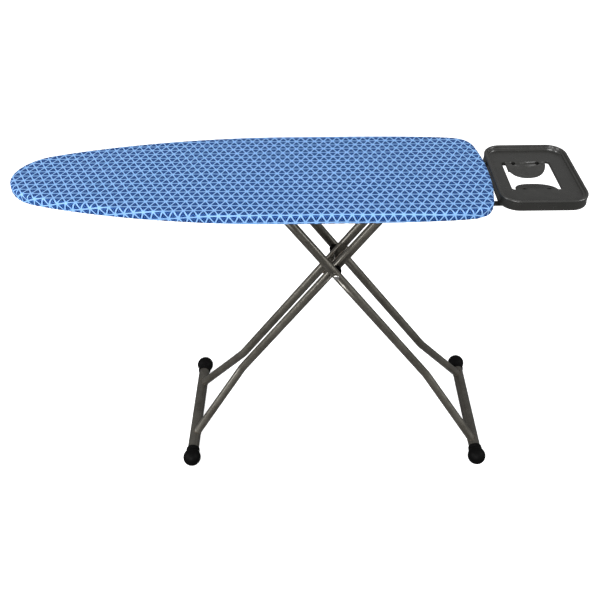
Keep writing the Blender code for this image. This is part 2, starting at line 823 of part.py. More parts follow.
def sleeve(name, inner, outer, low, high, side, at, finish, pivot):
    """A plain ring round a rod, from one distance off the middle to another."""
    ring = turned(name, ring_profile(inner, outer, low, high), side, sides=20, loop=True)
    ring.location.x = at
    place(ring, finish, pivot)


def cross_bridge(pivot):
    """The channel welded between the twin inner tubes where the legs cross."""
    half = INNER_Y - TUBE_RADIUS - GAP
    deep = 0.011
    wall = 0.0015
    section = [
        (-half, -deep),
        (-half, deep),
        (half, deep),
        (half, -deep),
        (half - wall, -deep),
        (half - wall, deep - wall),
        (wall - half, deep - wall),
        (wall - half, -deep),
    ]
    bridge = extruded("cross_bridge", section, 0.092)
    bridge.data.transform(Matrix(((0, 0, 1, 0), (1, 0, 0, 0), (0, 1, 0, 0), (0, 0, 0, 1))))
    bridge.location.x = LINK
    hole = cylinder("bridge_hole", ROD_HOLE_RADIUS, (LINK, -0.03, 0), (LINK, 0.03, 0))
    combine(bridge, hide_cutter(hole, pivot))
    place(bridge, "painted_steel", pivot)


def headed_rod(name, reach, head_radius, at, pivot):
    """A rivet-like rod along Y with a low domed head at each end."""
    profile = [
        (0, reach + 0.0035),
        (head_radius * 0.6, reach + 0.0029),
        (head_radius, reach + 0.0012),
        (head_radius, reach),
        (ROD_RADIUS, reach),
    ]
    profile += [(r, -h) for r, h in reversed(profile)]
    rod = turned(name, profile, sides=16)
    rod.location.x = at
    place(rod, "bare_steel", pivot)


def inner_leg():
    """The narrow pair of legs, hinged on the fixed rod near the tail."""
    pivot = leg_pivot("inner_leg_pivot", HINGE_X, TOP_AXLE_Z, math.pi - LEG_ANGLE)
    leg("inner", INNER_Y, pivot, 0, LINK)
    cross_bridge(pivot)
    between = INNER_Y - TUBE_RADIUS - GAP
    size = (ROD_HOLE_RADIUS, SLEEVE_RADIUS)
    sleeve("hinge_sleeve_middle", *size, -between, between, 1, 0, "black_plastic", pivot)
    outside = INNER_Y + TUBE_RADIUS + GAP
    rail = RAIL_Y - RAIL_STEEL / 2 - GAP
    for name, side in ENDS.items():
        sleeve(f"hinge_sleeve_{name}", *size, outside, rail, side, 0, "black_plastic", pivot)


def outer_leg():
    """The wide pair of legs, pinned to the inner pair; its top axle slides in the rails."""
    pivot = leg_pivot("outer_leg_pivot", CROSS_X, CROSS_Z, LEG_ANGLE)
    leg("outer", OUTER_Y, pivot, -LINK, 0)
    outside = OUTER_Y + TUBE_RADIUS + GAP
    rail = RAIL_Y - RAIL_STEEL / 2 - GAP
    reach = RAIL_Y + 0.006
    ends = [(-LINK, -reach, 0), (-LINK, reach, 0)]
    place(cylinder("slide_axle", ROD_RADIUS, *ends), "bare_steel", pivot)
    for name, side in ENDS.items():
        size = (ROD_HOLE_RADIUS, WASHER_RADIUS)
        sleeve(f"slide_washer_{name}", *size, outside, rail, side, -LINK, "black_plastic", pivot)
        nut = push_nut(f"slide_nut_{name}", side)
        nut.location.x = -LINK
        place(nut, "bare_steel", pivot)
        low = INNER_Y + TUBE_RADIUS + GAP
        high = OUTER_Y - TUBE_RADIUS - GAP
        size = (ROD_HOLE_RADIUS, SPACER_RADIUS)
        sleeve(f"cross_spacer_{name}", *size, low, high, side, 0, "black_plastic", pivot)
    headed_rod("cross_pivot_rod", outside, RIVET_HEAD_RADIUS, 0, pivot)


def rack():
    """The height rack with its release rod and grip, on its own pivot."""
    pivot = leg_pivot("height_rack_pivot", RACK_PIN_X, RACK_PIN_Z, 0)
    height_rack(pivot)


ironing_cover()
foam_pad()
mesh_top()
rim_frame()
cross_strips()
slide_rails()
hinge_rod()
rack_bracket()
rack_pin()
rack_spring()
iron_rest_arms()
iron_rest_tray()
tray_screws()
rack()
inner_leg()
outer_leg()
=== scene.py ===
"""Folding ironing board: the finished look of every piece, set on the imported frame.

X runs along the board from nose (-) to iron rest (+), Y across it, and Z up, in metres.
"""

import math

import bmesh
import bpy
import numpy as np
from mathutils import Matrix, Vector
from mathutils.geometry import interpolate_bezier


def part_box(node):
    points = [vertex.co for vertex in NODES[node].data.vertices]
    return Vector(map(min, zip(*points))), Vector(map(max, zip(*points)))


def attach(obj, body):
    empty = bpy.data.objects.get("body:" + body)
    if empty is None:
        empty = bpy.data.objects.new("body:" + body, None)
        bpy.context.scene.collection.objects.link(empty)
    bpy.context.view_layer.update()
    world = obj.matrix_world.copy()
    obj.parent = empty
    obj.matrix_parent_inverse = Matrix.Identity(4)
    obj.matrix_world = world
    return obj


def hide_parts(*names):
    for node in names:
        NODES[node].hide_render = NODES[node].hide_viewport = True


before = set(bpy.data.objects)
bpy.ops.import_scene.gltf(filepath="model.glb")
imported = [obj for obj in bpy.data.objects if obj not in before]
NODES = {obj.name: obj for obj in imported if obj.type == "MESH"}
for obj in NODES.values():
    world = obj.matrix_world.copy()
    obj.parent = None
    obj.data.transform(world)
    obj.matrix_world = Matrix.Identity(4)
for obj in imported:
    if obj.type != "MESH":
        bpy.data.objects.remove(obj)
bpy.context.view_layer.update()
ENDS = {"front": -1, "rear": 1}

# Board and cover
BOARD_LENGTH = 1.200
BOARD_TOP = 0.914
NOSE_X = -0.710
SPINE_START = 0.20
SPINE_END = BOARD_LENGTH - 0.18
COVER_DEPTH = 0.025
COVER_BOTTOM = BOARD_TOP - COVER_DEPTH
COVER_LIP = 0.026
ROLL = 0.011
ROLL_DROP = 0.0085
SIDE_TOP = COVER_DEPTH - ROLL_DROP
HEM_BEND = 0.004
HEM_BEND_HEIGHT = 0.0045
SWELL = 0.000175
GAP_UNDER_TOP = 0.0002
CLOTH = 0.0008
CASING = 0.0022
SIDE_WAVE = 0.0004
SIDE_GATHER = 0.0003
SIDE_GATHER_AT_CORNERS = 0.0006
HEM_DROP = 0.0004
HEM_DROP_AT_CORNERS = 0.0013
HEM_SEAM_DROP = 0.0009
PAD_TOP = 0.9120
PAD_BOTTOM = 0.9062
PAD_UNDER_EDGE = 0.010
PAD_TOP_EDGE = 0.0125
LATTICE_Z = 0.90540
PRINT_SIDE = 0.0238
PRINT_LINE_Y = -0.1880

# Scissor legs
CROSS_X = 0.1113
CROSS_Z = 0.6385
LEG_ANGLE = math.radians(54.27)
BAR_Z = 0.026
TOP_AXLE_Z = 0.864
TUBE_RADIUS = 0.0125
TUBE_WALL = 0.0012
TUBE_OVERRUN = 0.018
OUTER_Y = 0.0659
INNER_Y = 0.0318
BEND_AT = 0.480
BEND_RADIUS = 0.060
FLARE = 0.078
ROD_RADIUS = 0.004
ROD_HOLE_RADIUS = 0.0043
SLEEVE_RADIUS = 0.007
WASHER_RADIUS = 0.009
SPACER_RADIUS = 0.015
WELD_RISE = 0.0006
BRIDGE_HALF_LENGTH = 0.046
BRIDGE_WELD_HALF_LENGTH = 0.044
GAP = 0.0003
LINK = (TOP_AXLE_Z - CROSS_Z) / math.sin(LEG_ANGLE)
LOWER_LEG = (CROSS_Z - BAR_Z) / math.sin(LEG_ANGLE)
HINGE_X = CROSS_X + LINK * math.cos(LEG_ANGLE)

# Feet
BAR_RADIUS = 0.0175
BAR_WALL = 0.0015
BAR_HALF_LENGTH = 0.186
CAP_BALL_RADIUS = 0.027
CAP_BALL_Y = 0.1998
CAP_COLLAR_RADIUS = 0.0202
CAP_COLLAR_END = 0.033

# Rails and rack
RAIL_Y = 0.084
RAIL_STEEL = 0.002
RACK_PIN = (0.1613, 0.0, 0.880)
COIL_RADIUS = 0.0062
COIL_PITCH = 0.0016
SPRING_WIRE = 0.0006

# Iron rest
TRAY_X = (0.4963, 0.7100)
TRAY_HALF_Y = 0.138
TRAY_CORNER = 0.047
TRAY_TOP = 0.911
TRAY_FLOOR = 0.900
TRAY_BOTTOM = 0.884
TRAY_WALL = 0.002
BEAD_HALF_WIDTH = 0.0036
BEAD_HEIGHT = 0.0034
OPENING_X = (0.5363, 0.6578)
OPENING_HALF_Y = 0.0665
OPENING_CORNER = 0.007
LOBE_WIDTH = 0.102
LOBE_DEPTH = 0.0551
LOBE_SLOPE = math.radians(17)
LOBE_ROOT_Y = OPENING_HALF_Y + 0.0006
LOBE_ROOT_Z = TRAY_FLOOR - 0.0013
LOBE_HALF_THICKNESS = 0.0012
LOBE_EASE = 0.0006
BOSS_RADIUS = 0.0070
RECESS_RADIUS = 0.0052
SCREW_BORE_RADIUS = 0.0024
SCREW_SEAT = 0.0025
ARM_TOP = 0.8805
SCREW_X = (0.5665, 0.6275)
SCREW_Y = 0.0615

# Studio. Each light: its place, what it is aimed at, its size and its power in watts.
LIGHTS = {
    "front_light": ((-0.9, -3.3, 2.1), (0, 0, 0.6), (2.2, 1.2), 120),
    "left_light": ((-3.0, -0.9, 1.7), (0, 0, 0.5), (0.9, 1.8), 55),
    "right_light": ((3.0, -0.7, 1.9), (0, 0, 0.5), (0.9, 1.8), 40),
    "overhead_light": ((0.2, 0.5, 3.3), (0.1, 0, 0.9), (1.6, 0.6), 11),
}
FLOOR_REACH = 30
CAMERA_PLACE = (0.0355, -1.5675, 1.8371)
CAMERA_SENSOR = 36
CAMERA_LENS = 42.896
CAMERA_PITCH = 0.70851
CAMERA_YAW = -0.015108
CAMERA_ROLL = -0.018249

# ---------------------------------------------------------------- node tools


def feed(tree, socket, value):
    """Joins another node's output to a socket, or sets the socket's own value."""
    if isinstance(value, bpy.types.NodeSocket):
        tree.links.new(value, socket)
    else:
        socket.default_value = value


def add(tree, kind, settings=None, inputs=None):
    """A new node with its settings and inputs filled in."""
    made = tree.nodes.new(kind)
    for key, value in (settings or {}).items():
        setattr(made, key, value)
    for key, value in (inputs or {}).items():
        feed(tree, made.inputs[key], value)
    return made


def sums(tree, operation, first, second=0.0, third=0.0):
    """The output of a maths node."""
    values = {0: first, 1: second, 2: third}
    return add(tree, "ShaderNodeMath", {"operation": operation}, values).outputs[0]


def vector_of(tree, **parts):
    """The output of a node that joins X, Y and Z."""
    return add(tree, "ShaderNodeCombineXYZ", None, parts).outputs[0]


def vector_sum(tree, operation, first, second):
    """The vector output of a vector maths node."""
    settings = {"operation": operation}
    return add(tree, "ShaderNodeVectorMath", settings, {0: first, 1: second}).outputs["Vector"]


def step_up(tree, value, low, high):
    """A smooth step from 0 at low to 1 at high."""
    settings = {"interpolation_type": "SMOOTHSTEP"}
    values = {"Value": value, "From Min": low, "From Max": high}
    return add(tree, "ShaderNodeMapRange", settings, values).outputs[0]


def noise(tree, vector, scale, detail=3.0, roughness=0.55):
    """The value of a noise texture."""
    values = {"Vector": vector, "Scale": scale, "Detail": detail, "Roughness": roughness}
    return add(tree, "ShaderNodeTexNoise", None, values).outputs["Fac"]


def blend_colours(tree, factor, first, second, mode="MIX"):
    """Two colours mixed by a factor."""
    made = add(tree, "ShaderNodeMix", {"data_type": "RGBA", "blend_type": mode})
    feed(tree, made.inputs["Factor"], factor)
    colours = [socket for socket in made.inputs if socket.type == "RGBA"]
    for socket, colour in zip(colours, (first, second)):
        feed(tree, socket, colour if isinstance(colour, bpy.types.NodeSocket) else (*colour, 1.0))
    return next(socket for socket in made.outputs if socket.type == "RGBA")


def shader_group(name, inputs, outputs):
    """An empty shader group with named sockets; gives the tree and its input and output nodes."""
    tree = bpy.data.node_groups.new(name, "ShaderNodeTree")
    for label, kind, value in inputs:
        socket = tree.interface.new_socket(label, in_out="INPUT", socket_type=kind)
        if value is not None:
            socket.default_value = value
    for label in outputs:
        tree.interface.new_socket(label, in_out="OUTPUT", socket_type="NodeSocketFloat")
    return tree, tree.nodes.new("NodeGroupInput"), tree.nodes.new("NodeGroupOutput")


def use_group(tree, group, inputs):
    """A group placed in a material with its own values; gives its outputs."""
    return add(tree, "ShaderNodeGroup", {"node_tree": group}, inputs).outputs


# ---------------------------------------------------------------- effect groups


def weave_group():
    """Plain weave: threads over and under each other, slightly uneven."""
    sizes = [("Vector", "NodeSocketVector", None), ("Thread Pitch", "NodeSocketFloat", 0.0009)]
    tree, given, result = shader_group("plain_weave", sizes, ["Height", "Slub"])
    apart = add(tree, "ShaderNodeSeparateXYZ", None, {0: given.outputs["Vector"]})
    turns = sums(tree, "DIVIDE", math.pi, given.outputs["Thread Pitch"])
    warp = sums(tree, "SINE", sums(tree, "MULTIPLY", apart.outputs["X"], turns))
    weft = sums(tree, "SINE", sums(tree, "MULTIPLY", apart.outputs["Y"], turns))
    over = sums(tree, "MULTIPLY_ADD", sums(tree, "MULTIPLY", warp, weft), 0.5, 0.5)
    slub = noise(tree, given.outputs["Vector"], 260.0, 2.0)
    feed(tree, result.inputs["Height"], sums(tree, "MULTIPLY_ADD", slub, 0.5, over))
    feed(tree, result.inputs["Slub"], slub)
    return tree


def triangle_group():
    """A lattice of equal triangles, each split by lines from its corners to its middle."""
    sizes = [
        ("Vector", "NodeSocketVector", None),
        ("Side", "NodeSocketFloat", PRINT_SIDE),
        ("Line Width", "NodeSocketFloat", 0.003),
        ("Ray Width", "NodeSocketFloat", 0.001),
    ]
    tree, given, result = shader_group("triangle_print", sizes, ["Lines", "Rays", "Facet"])
    rise = sums(tree, "MULTIPLY", given.outputs["Side"], math.sqrt(3) / 2)
    shares = []
    for angle in (90, 210, 330):
        way = (math.cos(math.radians(angle)), math.sin(math.radians(angle)), 0)
        pair = {0: given.outputs["Vector"], 1: way}
        along = add(tree, "ShaderNodeVectorMath", {"operation": "DOT_PRODUCT"}, pair)
        shares.append(sums(tree, "FRACT", sums(tree, "DIVIDE", along.outputs["Value"], rise)))
    total = sums(tree, "ADD", sums(tree, "ADD", shares[0], shares[1]), shares[2])
    down = sums(tree, "GREATER_THAN", total, 1.5)
    flipped = []
    for share in shares:
        other = sums(tree, "SUBTRACT", 1.0, share)
        change = sums(tree, "MULTIPLY", down, sums(tree, "SUBTRACT", other, share))
        flipped.append(sums(tree, "ADD", share, change))
    least = sums(tree, "MINIMUM", sums(tree, "MINIMUM", flipped[0], flipped[1]), flipped[2])
    most = sums(tree, "MAXIMUM", sums(tree, "MAXIMUM", flipped[0], flipped[1]), flipped[2])
    middle = sums(tree, "SUBTRACT", sums(tree, "SUBTRACT", 1.0, least), most)
    edge = sums(tree, "MULTIPLY", least, rise)
    half = sums(tree, "MULTIPLY", given.outputs["Line Width"], 0.5)
    soft = sums(tree, "MULTIPLY", half, 1.35)
    lines = sums(tree, "SUBTRACT", 1.0, step_up(tree, edge, half, soft))
    away = sums(tree, "MULTIPLY", sums(tree, "SUBTRACT", middle, least), rise)
    ray = sums(tree, "MULTIPLY", given.outputs["Ray Width"], 0.87)
    rays = sums(tree, "SUBTRACT", 1.0, step_up(tree, away, ray, sums(tree, "MULTIPLY", ray, 1.8)))
    flat = sums(tree, "LESS_THAN", flipped[0], sums(tree, "ADD", least, 0.0001))
    facet = sums(tree, "ADD", sums(tree, "MULTIPLY", flat, 0.55), sums(tree, "MULTIPLY", down, 0.3))
    feed(tree, result.inputs["Lines"], lines)
    feed(tree, result.inputs["Rays"], rays)
    feed(tree, result.inputs["Facet"], facet)
    return tree


def grain_group():
    """A fine surface grain, with broad uneven patches."""
    sizes = [("Vector", "NodeSocketVector", None), ("Grain Size", "NodeSocketFloat", 0.001)]
    tree, given, result = shader_group("surface_grain", sizes, ["Height", "Patches"])
    scale = sums(tree, "DIVIDE", 1.0, given.outputs["Grain Size"])
    fine = noise(tree, given.outputs["Vector"], scale, 2.0)
    spread = {"Vector": given.outputs["Vector"], "Scale": sums(tree, "MULTIPLY", scale, 0.6)}
    cells = add(tree, "ShaderNodeTexVoronoi", {"feature": "SMOOTH_F1"}, spread)
    height = sums(tree, "ADD", fine, sums(tree, "MULTIPLY", cells.outputs["Distance"], 0.5))
    patches = noise(tree, given.outputs["Vector"], 14.0, 5.0, 0.65)
    feed(tree, result.inputs["Height"], height)
    feed(tree, result.inputs["Patches"], patches)
    return tree


def wear_group():
    """Where handling rubs: raised edges, broken up by noise."""
    sizes = [
        ("Vector", "NodeSocketVector", None),
        ("Edge", "NodeSocketFloat", 0.53),
        ("Chip Size", "NodeSocketFloat", 0.01),
    ]
    tree, given, result = shader_group("edge_wear", sizes, ["Worn", "Scratches"])
    shape = tree.nodes.new("ShaderNodeNewGeometry")
    high = sums(tree, "ADD", given.outputs["Edge"], 0.05)
    raised = step_up(tree, shape.outputs["Pointiness"], given.outputs["Edge"], high)
    scale = sums(tree, "DIVIDE", 1.0, given.outputs["Chip Size"])
    chips = step_up(tree, noise(tree, given.outputs["Vector"], scale, 6.0, 0.7), 0.46, 0.60)
    feed(tree, result.inputs["Worn"], sums(tree, "MULTIPLY", raised, chips))
    drawn_out = {"Rotation": (0.4, 0.9, 0.3), "Scale": (30.0, 900.0, 900.0)}
    drawn_out["Vector"] = given.outputs["Vector"]
    stretched = add(tree, "ShaderNodeMapping", None, drawn_out)
    lines = noise(tree, stretched.outputs["Vector"], 1.0, 2.0, 0.5)
    feed(tree, result.inputs["Scratches"], step_up(tree, lines, 0.66, 0.74))
    return tree


def dust_group():
    """A little dust on whatever faces up."""
    sizes = [("Vector", "NodeSocketVector", None), ("Cover", "NodeSocketFloat", 0.4)]
    tree, given, result = shader_group("settled_dust", sizes, ["Dust"])
    shape = tree.nodes.new("ShaderNodeNewGeometry")
    apart = add(tree, "ShaderNodeSeparateXYZ", None, {0: shape.outputs["Normal"]})
    up = step_up(tree, apart.outputs["Z"], 0.25, 0.95)
    spread = step_up(tree, noise(tree, given.outputs["Vector"], 55.0, 6.0, 0.7), 0.40, 0.75)
    both = sums(tree, "MULTIPLY", up, spread)
    feed(tree, result.inputs["Dust"], sums(tree, "MULTIPLY", both, given.outputs["Cover"]))
    return tree


WEAVE = weave_group()
TRIANGLES = triangle_group()
GRAIN = grain_group()
WEAR = wear_group()
DUST = dust_group()

# ---------------------------------------------------------------- finishes


def new_material(name, even):
    """A material whose shader has its even values set; gives material, tree, shader, position."""
    made = bpy.data.materials.new(name)
    made.use_nodes = True
    tree = made.node_tree
    shader = tree.nodes["Principled BSDF"]
    for key, value in even.items():
        shader.inputs[key].default_value = value
    place = tree.nodes.new("ShaderNodeTexCoord").outputs["Object"]
    return made, tree, shader, place


def bump(tree, shader, height, depth, strength=1.0):
    """Feeds a height to the shader's normal; depth is the height of 1, in metres."""
    values = {"Height": height, "Distance": depth, "Strength": strength}
    feed(tree, shader.inputs["Normal"], add(tree, "ShaderNodeBump", None, values).outputs["Normal"])


def wear_and_tear(tree, place, grain_size, edge, chip_size, dust_cover):
    """The grain, edge wear and dust of one finish, each with its own values."""
    grain = use_group(tree, GRAIN, {"Vector": place, "Grain Size": grain_size})
    wear = use_group(tree, WEAR, {"Vector": place, "Edge": edge, "Chip Size": chip_size})
    dust = use_group(tree, DUST, {"Vector": place, "Cover": dust_cover})
    return grain, wear, dust


def dress(tree, shader, colour, rough, metal=0.0):
    """Feeds a finish's colour, roughness and share of metal to its shader."""
    feed(tree, shader.inputs["Base Color"], colour)
    feed(tree, shader.inputs["Roughness"], rough)
    feed(tree, shader.inputs["Metallic"], metal)


def cotton_finish():
    """Printed cotton: light lines over dark and middle blue triangles, on a fine weave."""
    even = {"Sheen Weight": 0.03, "Sheen Roughness": 0.4, "Specular IOR Level": 0.10}
    made, tree, shader, _ = new_material("printed_cotton", even)
    cloth = add(tree, "ShaderNodeUVMap", {"uv_map": "cloth"}).outputs["UV"]
    moved = vector_sum(tree, "ADD", cloth, (0.004, -PRINT_LINE_Y, 0))
    wander = add(tree, "ShaderNodeTexNoise", None, {"Vector": cloth, "Scale": 9.0, "Detail": 2.0})
    centred = vector_sum(tree, "SUBTRACT", wander.outputs["Color"], (0.5, 0.5, 0.5))
    shift = vector_sum(tree, "MULTIPLY", centred, (0.006, 0.006, 0.006))
    pulled = vector_sum(tree, "ADD", moved, shift)
    printed = use_group(tree, TRIANGLES, {"Vector": pulled, "Line Width": 0.0030})
    weave = use_group(tree, WEAVE, {"Vector": cloth, "Thread Pitch": 0.0008})
    tone = noise(tree, cloth, 16.0, 4.0)
    fill = blend_colours(tree, printed["Facet"], (0.001, 0.012, 0.078), (0.003, 0.038, 0.180))
    fill = blend_colours(tree, step_up(tree, tone, 0.35, 0.7), fill, (0.002, 0.020, 0.125))
    rays = sums(tree, "MULTIPLY", printed["Rays"], 0.70)
    colour = blend_colours(tree, rays, fill, (0.050, 0.165, 0.460))
    line = blend_colours(tree, tone, (0.185, 0.385, 0.720), (0.275, 0.480, 0.820))
    colour = blend_colours(tree, printed["Lines"], colour, line)
    faded = sums(tree, "MULTIPLY", step_up(tree, weave["Height"], 0.9, 1.4), 0.04)
    colour = blend_colours(tree, faded, colour, (0.55, 0.68, 0.92))
    dress(tree, shader, colour, sums(tree, "MULTIPLY_ADD", weave["Slub"], 0.25, 0.42))
    bump(tree, shader, weave["Height"], 0.00012, 0.6)
    return made


def foam_finish():
    """Open-cell foam over pale yellowish grey: pores bumped in and darkened with painted shade."""
    made, tree, shader, place = new_material("pad_foam", {"Sheen Weight": 0.1})
    pores = add(tree, "ShaderNodeTexVoronoi", {"feature": "F1"}, {"Vector": place, "Scale": 620.0})
    pore_depth_and_shade = step_up(tree, pores.outputs["Distance"], 0.15, 0.6)
    aged = noise(tree, place, 9.0, 4.0)
    colour = blend_colours(tree, aged, (0.74, 0.71, 0.60), (0.82, 0.81, 0.75))
    # Painted shade: the pores take a dark colour for the shade inside the cells.
    colour = blend_colours(tree, pore_depth_and_shade, (0.36, 0.34, 0.28), colour)
    dress(tree, shader, colour, sums(tree, "MULTIPLY_ADD", aged, 0.1, 0.85))
    bump(tree, shader, pore_depth_and_shade, 0.0004, 0.7)
    return made


def steel_finish(name, bright, dull, shine):
    """Zinc-plated steel: faint spangle, dull patches, rubbed edges and dust."""
    made, tree, shader, place = new_material(name, {"Anisotropic": 0.25})
    spangle = add(tree, "ShaderNodeTexVoronoi", {"feature": "F1"}, {"Vector": place, "Scale": 190.0})
    facet = add(tree, "ShaderNodeSeparateColor", None, {0: spangle.outputs["Color"]}).outputs[0]
    grain, wear, dust = wear_and_tear(tree, place, 0.0006, 0.53, 0.006, 0.25)
    mixed = sums(tree, "MULTIPLY_ADD", facet, 0.35, sums(tree, "MULTIPLY", grain["Patches"], 0.65))
    colour = blend_colours(tree, mixed, dull, bright)
    colour = blend_colours(tree, wear["Worn"], colour, (0.80, 0.79, 0.77))
    colour = blend_colours(tree, dust["Dust"], colour, (0.45, 0.43, 0.40))
    rough = sums(tree, "MULTIPLY_ADD", grain["Patches"], 0.30, shine)
    dress(tree, shader, colour, rough, sums(tree, "SUBTRACT", 1.0, dust["Dust"]))
    bump(tree, shader, grain["Height"], 0.00002, 0.5)
    return made


def paint_finish(name, low, high):
    """Dark grey-brown metallic powder coat: orange peel, flakes, chipped edges and dust."""
    even = {"Coat Weight": 0.45, "Coat Roughness": 0.14, "Specular IOR Level": 0.5}
    made, tree, shader, place = new_material(name, even)
    peel, wear, dust = wear_and_tear(tree, place, 0.0016, 0.56, 0.009, 0.05)
    flakes = add(tree, "ShaderNodeTexVoronoi", {"feature": "F1"}, {"Vector": place, "Scale": 900.0})
    flake = add(tree, "ShaderNodeSeparateColor", None, {0: flakes.outputs["Color"]}).outputs[0]
    colour = blend_colours(tree, step_up(tree, peel["Patches"], 0.3, 0.7), low, high)
    sparkle = sums(tree, "MULTIPLY", step_up(tree, flake, 0.6, 1.0), 0.40)
    colour = blend_colours(tree, sparkle, colour, tuple(2.3 * c for c in high))
    colour = blend_colours(tree, wear["Worn"], colour, (0.22, 0.21, 0.19))
    colour = blend_colours(tree, dust["Dust"], colour, (0.30, 0.28, 0.25))
    steel = sums(tree, "MULTIPLY_ADD", wear["Worn"], 0.35, 0.62)
    rough = sums(tree, "MULTIPLY_ADD", peel["Patches"], 0.20, 0.22)
    rough = sums(tree, "MULTIPLY_ADD", wear["Scratches"], 0.12, rough)
    dress(tree, shader, colour, rough, sums(tree, "SUBTRACT", steel, dust["Dust"]))
    bump(tree, shader, peel["Height"], 0.00005, 0.4)
    return made


def weld_finish():
    """Painted weld seams with rust coming through."""
    made, tree, shader, place = new_material("weld_seam", {"Specular IOR Level": 0.4})
    grain = use_group(tree, GRAIN, {"Vector": place, "Grain Size": 0.0012})
    rusty = step_up(tree, noise(tree, place, 85.0, 6.0, 0.7), 0.52, 0.72)
    colour = blend_colours(tree, grain["Patches"], (0.050, 0.042, 0.032), (0.100, 0.088, 0.070))
    rust = blend_colours(tree, noise(tree, place, 400.0), (0.070, 0.036, 0.018), (0.130, 0.075, 0.040))
    colour = blend_colours(tree, rusty, colour, rust)
    rough = sums(tree, "MULTIPLY_ADD", rusty, 0.4, 0.4)
    dress(tree, shader, colour, rough, sums(tree, "MULTIPLY_ADD", rusty, -0.5, 0.55))
    bump(tree, shader, grain["Height"], 0.00015, 0.6)
    return made


def plastic_finish(name, low, high, shine, grain_size, depth, dust_cover, gloss):
    """Moulded plastic: fine texture, flow patches, rubbed edges and dust."""
    made, tree, shader, place = new_material(name, {"Specular IOR Level": gloss, "IOR": 1.49})
    grain, wear, dust = wear_and_tear(tree, place, grain_size, 0.56, 0.012, dust_cover)
    colour = blend_colours(tree, grain["Patches"], low, high)
    pale = tuple(min(1.0, 2.4 * c + 0.03) for c in high)
    colour = blend_colours(tree, sums(tree, "MULTIPLY", wear["Worn"], 0.5), colour, pale)
    colour = blend_colours(tree, dust["Dust"], colour, (0.34, 0.33, 0.31))
    rough = sums(tree, "MULTIPLY_ADD", grain["Patches"], 0.20, shine)
    rough = sums(tree, "MULTIPLY_ADD", wear["Scratches"], 0.15, rough)
    dress(tree, shader, colour, sums(tree, "ADD", rough, dust["Dust"]))
    bump(tree, shader, grain["Height"], depth, 0.5)
    return made


def thread_finish():
    """Twisted sewing thread."""
    made, tree, shader, place = new_material("hem_thread", {"Sheen Weight": 0.3})
    twist = noise(tree, place, 2400.0, 2.0)
    colour = blend_colours(tree, twist, (0.10, 0.24, 0.58), (0.32, 0.50, 0.86))
    dress(tree, shader, colour, sums(tree, "MULTIPLY_ADD", twist, 0.2, 0.55))
    bump(tree, shader, twist, 0.0001, 0.6)
    return made


def floor_finish():
    """Plain pale floor with the faintest unevenness."""
    made, tree, shader, place = new_material("studio_floor", {"Specular IOR Level": 0.1})
    tone = noise(tree, place, 0.8, 2.0)
    colour = blend_colours(tree, tone, (0.93, 0.93, 0.93), (0.95, 0.95, 0.95))
    feed(tree, shader.inputs["Emission Color"], colour)
    shader.inputs["Emission Strength"].default_value = 0.75
    dress(tree, shader, colour, sums(tree, "MULTIPLY_ADD", tone, 0.05, 0.85))
    return made


FINISH = {
    "cotton": cotton_finish(),
    "foam": foam_finish(),
    "steel": steel_finish("zinc_steel", (0.72, 0.71, 0.69), (0.40, 0.40, 0.395), 0.22),
    "rod": steel_finish("bright_rod", (0.82, 0.81, 0.79), (0.55, 0.545, 0.53), 0.12),
    "paint": paint_finish("dark_powder_coat", (0.066, 0.060, 0.048), (0.118, 0.110, 0.092)),
    # Painted shade: the foot bars take a darker copy of the leg paint for the dimmer light near the
    # floor.
    "bar_paint_shaded": paint_finish("bar_powder_coat_painted_shade", (0.044, 0.040, 0.033), (0.080, 0.075, 0.063)),
    # Painted shade: the iron rest's arms take a darker copy of the leg paint for the shade they sit in
    # under the tray.
    "arm_paint_shaded": paint_finish("arm_powder_coat_painted_shade", (0.030, 0.028, 0.024), (0.052, 0.049, 0.044)),
    "weld": weld_finish(),
    "tray": plastic_finish(
        "tray_moulding",
        (0.014, 0.014, 0.0128),
        (0.026, 0.0255, 0.0235),
        shine=0.16,
        grain_size=0.0009,
        depth=0.00004,
        dust_cover=0.02,
        gloss=0.62,
    ),
    "black": plastic_finish(
        "black_moulding",
        (0.0012, 0.0012, 0.0012),
        (0.003, 0.003, 0.003),
        shine=0.42,
        grain_size=0.0007,
        depth=0.00005,
        dust_cover=0.004,
        gloss=0.06,
    ),
    "thread": thread_finish(),
    "floor": floor_finish(),
}

# ---------------------------------------------------------------- shape tools


def shown(obj, finish, sharp=35.0, merge=0.00002, turn_out=True):
    """Cleans a new mesh, gives it its finish and smooth shading, and links it."""
    bm = bmesh.new()
    bm.from_mesh(obj.data)
    bmesh.ops.remove_doubles(bm, verts=bm.verts, dist=merge)
    bmesh.ops.dissolve_degenerate(bm, edges=bm.edges, dist=merge / 4)
    if turn_out:
        bmesh.ops.recalc_face_normals(bm, faces=bm.faces)
    bm.to_mesh(obj.data)
    bm.free()
    obj.data.materials.clear()
    obj.data.materials.append(FINISH[finish])
    obj.data.shade_smooth()
    obj.data.set_sharp_from_angle(angle=math.radians(sharp))
    if not obj.users_collection:
        bpy.context.scene.collection.objects.link(obj)
    return obj


def piece(name, points, faces, finish, sharp=35.0, at=None):
    """A finished piece from points and faces, placed by a matrix."""
    mesh = bpy.data.meshes.new(name)
    mesh.from_pydata([tuple(p) for p in points], [], faces)
    if at is not None:
        mesh.transform(at)
    return shown(bpy.data.objects.new(name, mesh), finish, sharp)


def stands_for(obj, body, slot, *nodes):
    """The piece rides on a body and takes the place of CAD nodes; the slot is not used."""
    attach(obj, body)
    if nodes:
        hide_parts(*nodes)
    return obj


def shell(rings, loop=False):
    """Points and faces through equal closed rings; loop joins the last ring to the first."""
    count = len(rings[0])
    points = [point for ring in rings for point in ring]
    pairs = [(i, i + 1) for i in range(len(rings) - 1)]
    if loop:
        pairs.append((len(rings) - 1, 0))
    faces = []
    for low, high in pairs:
        for i in range(count):
            j = (i + 1) % count
            faces.append((low * count + i, low * count + j, high * count + j, high * count + i))
    return points, faces


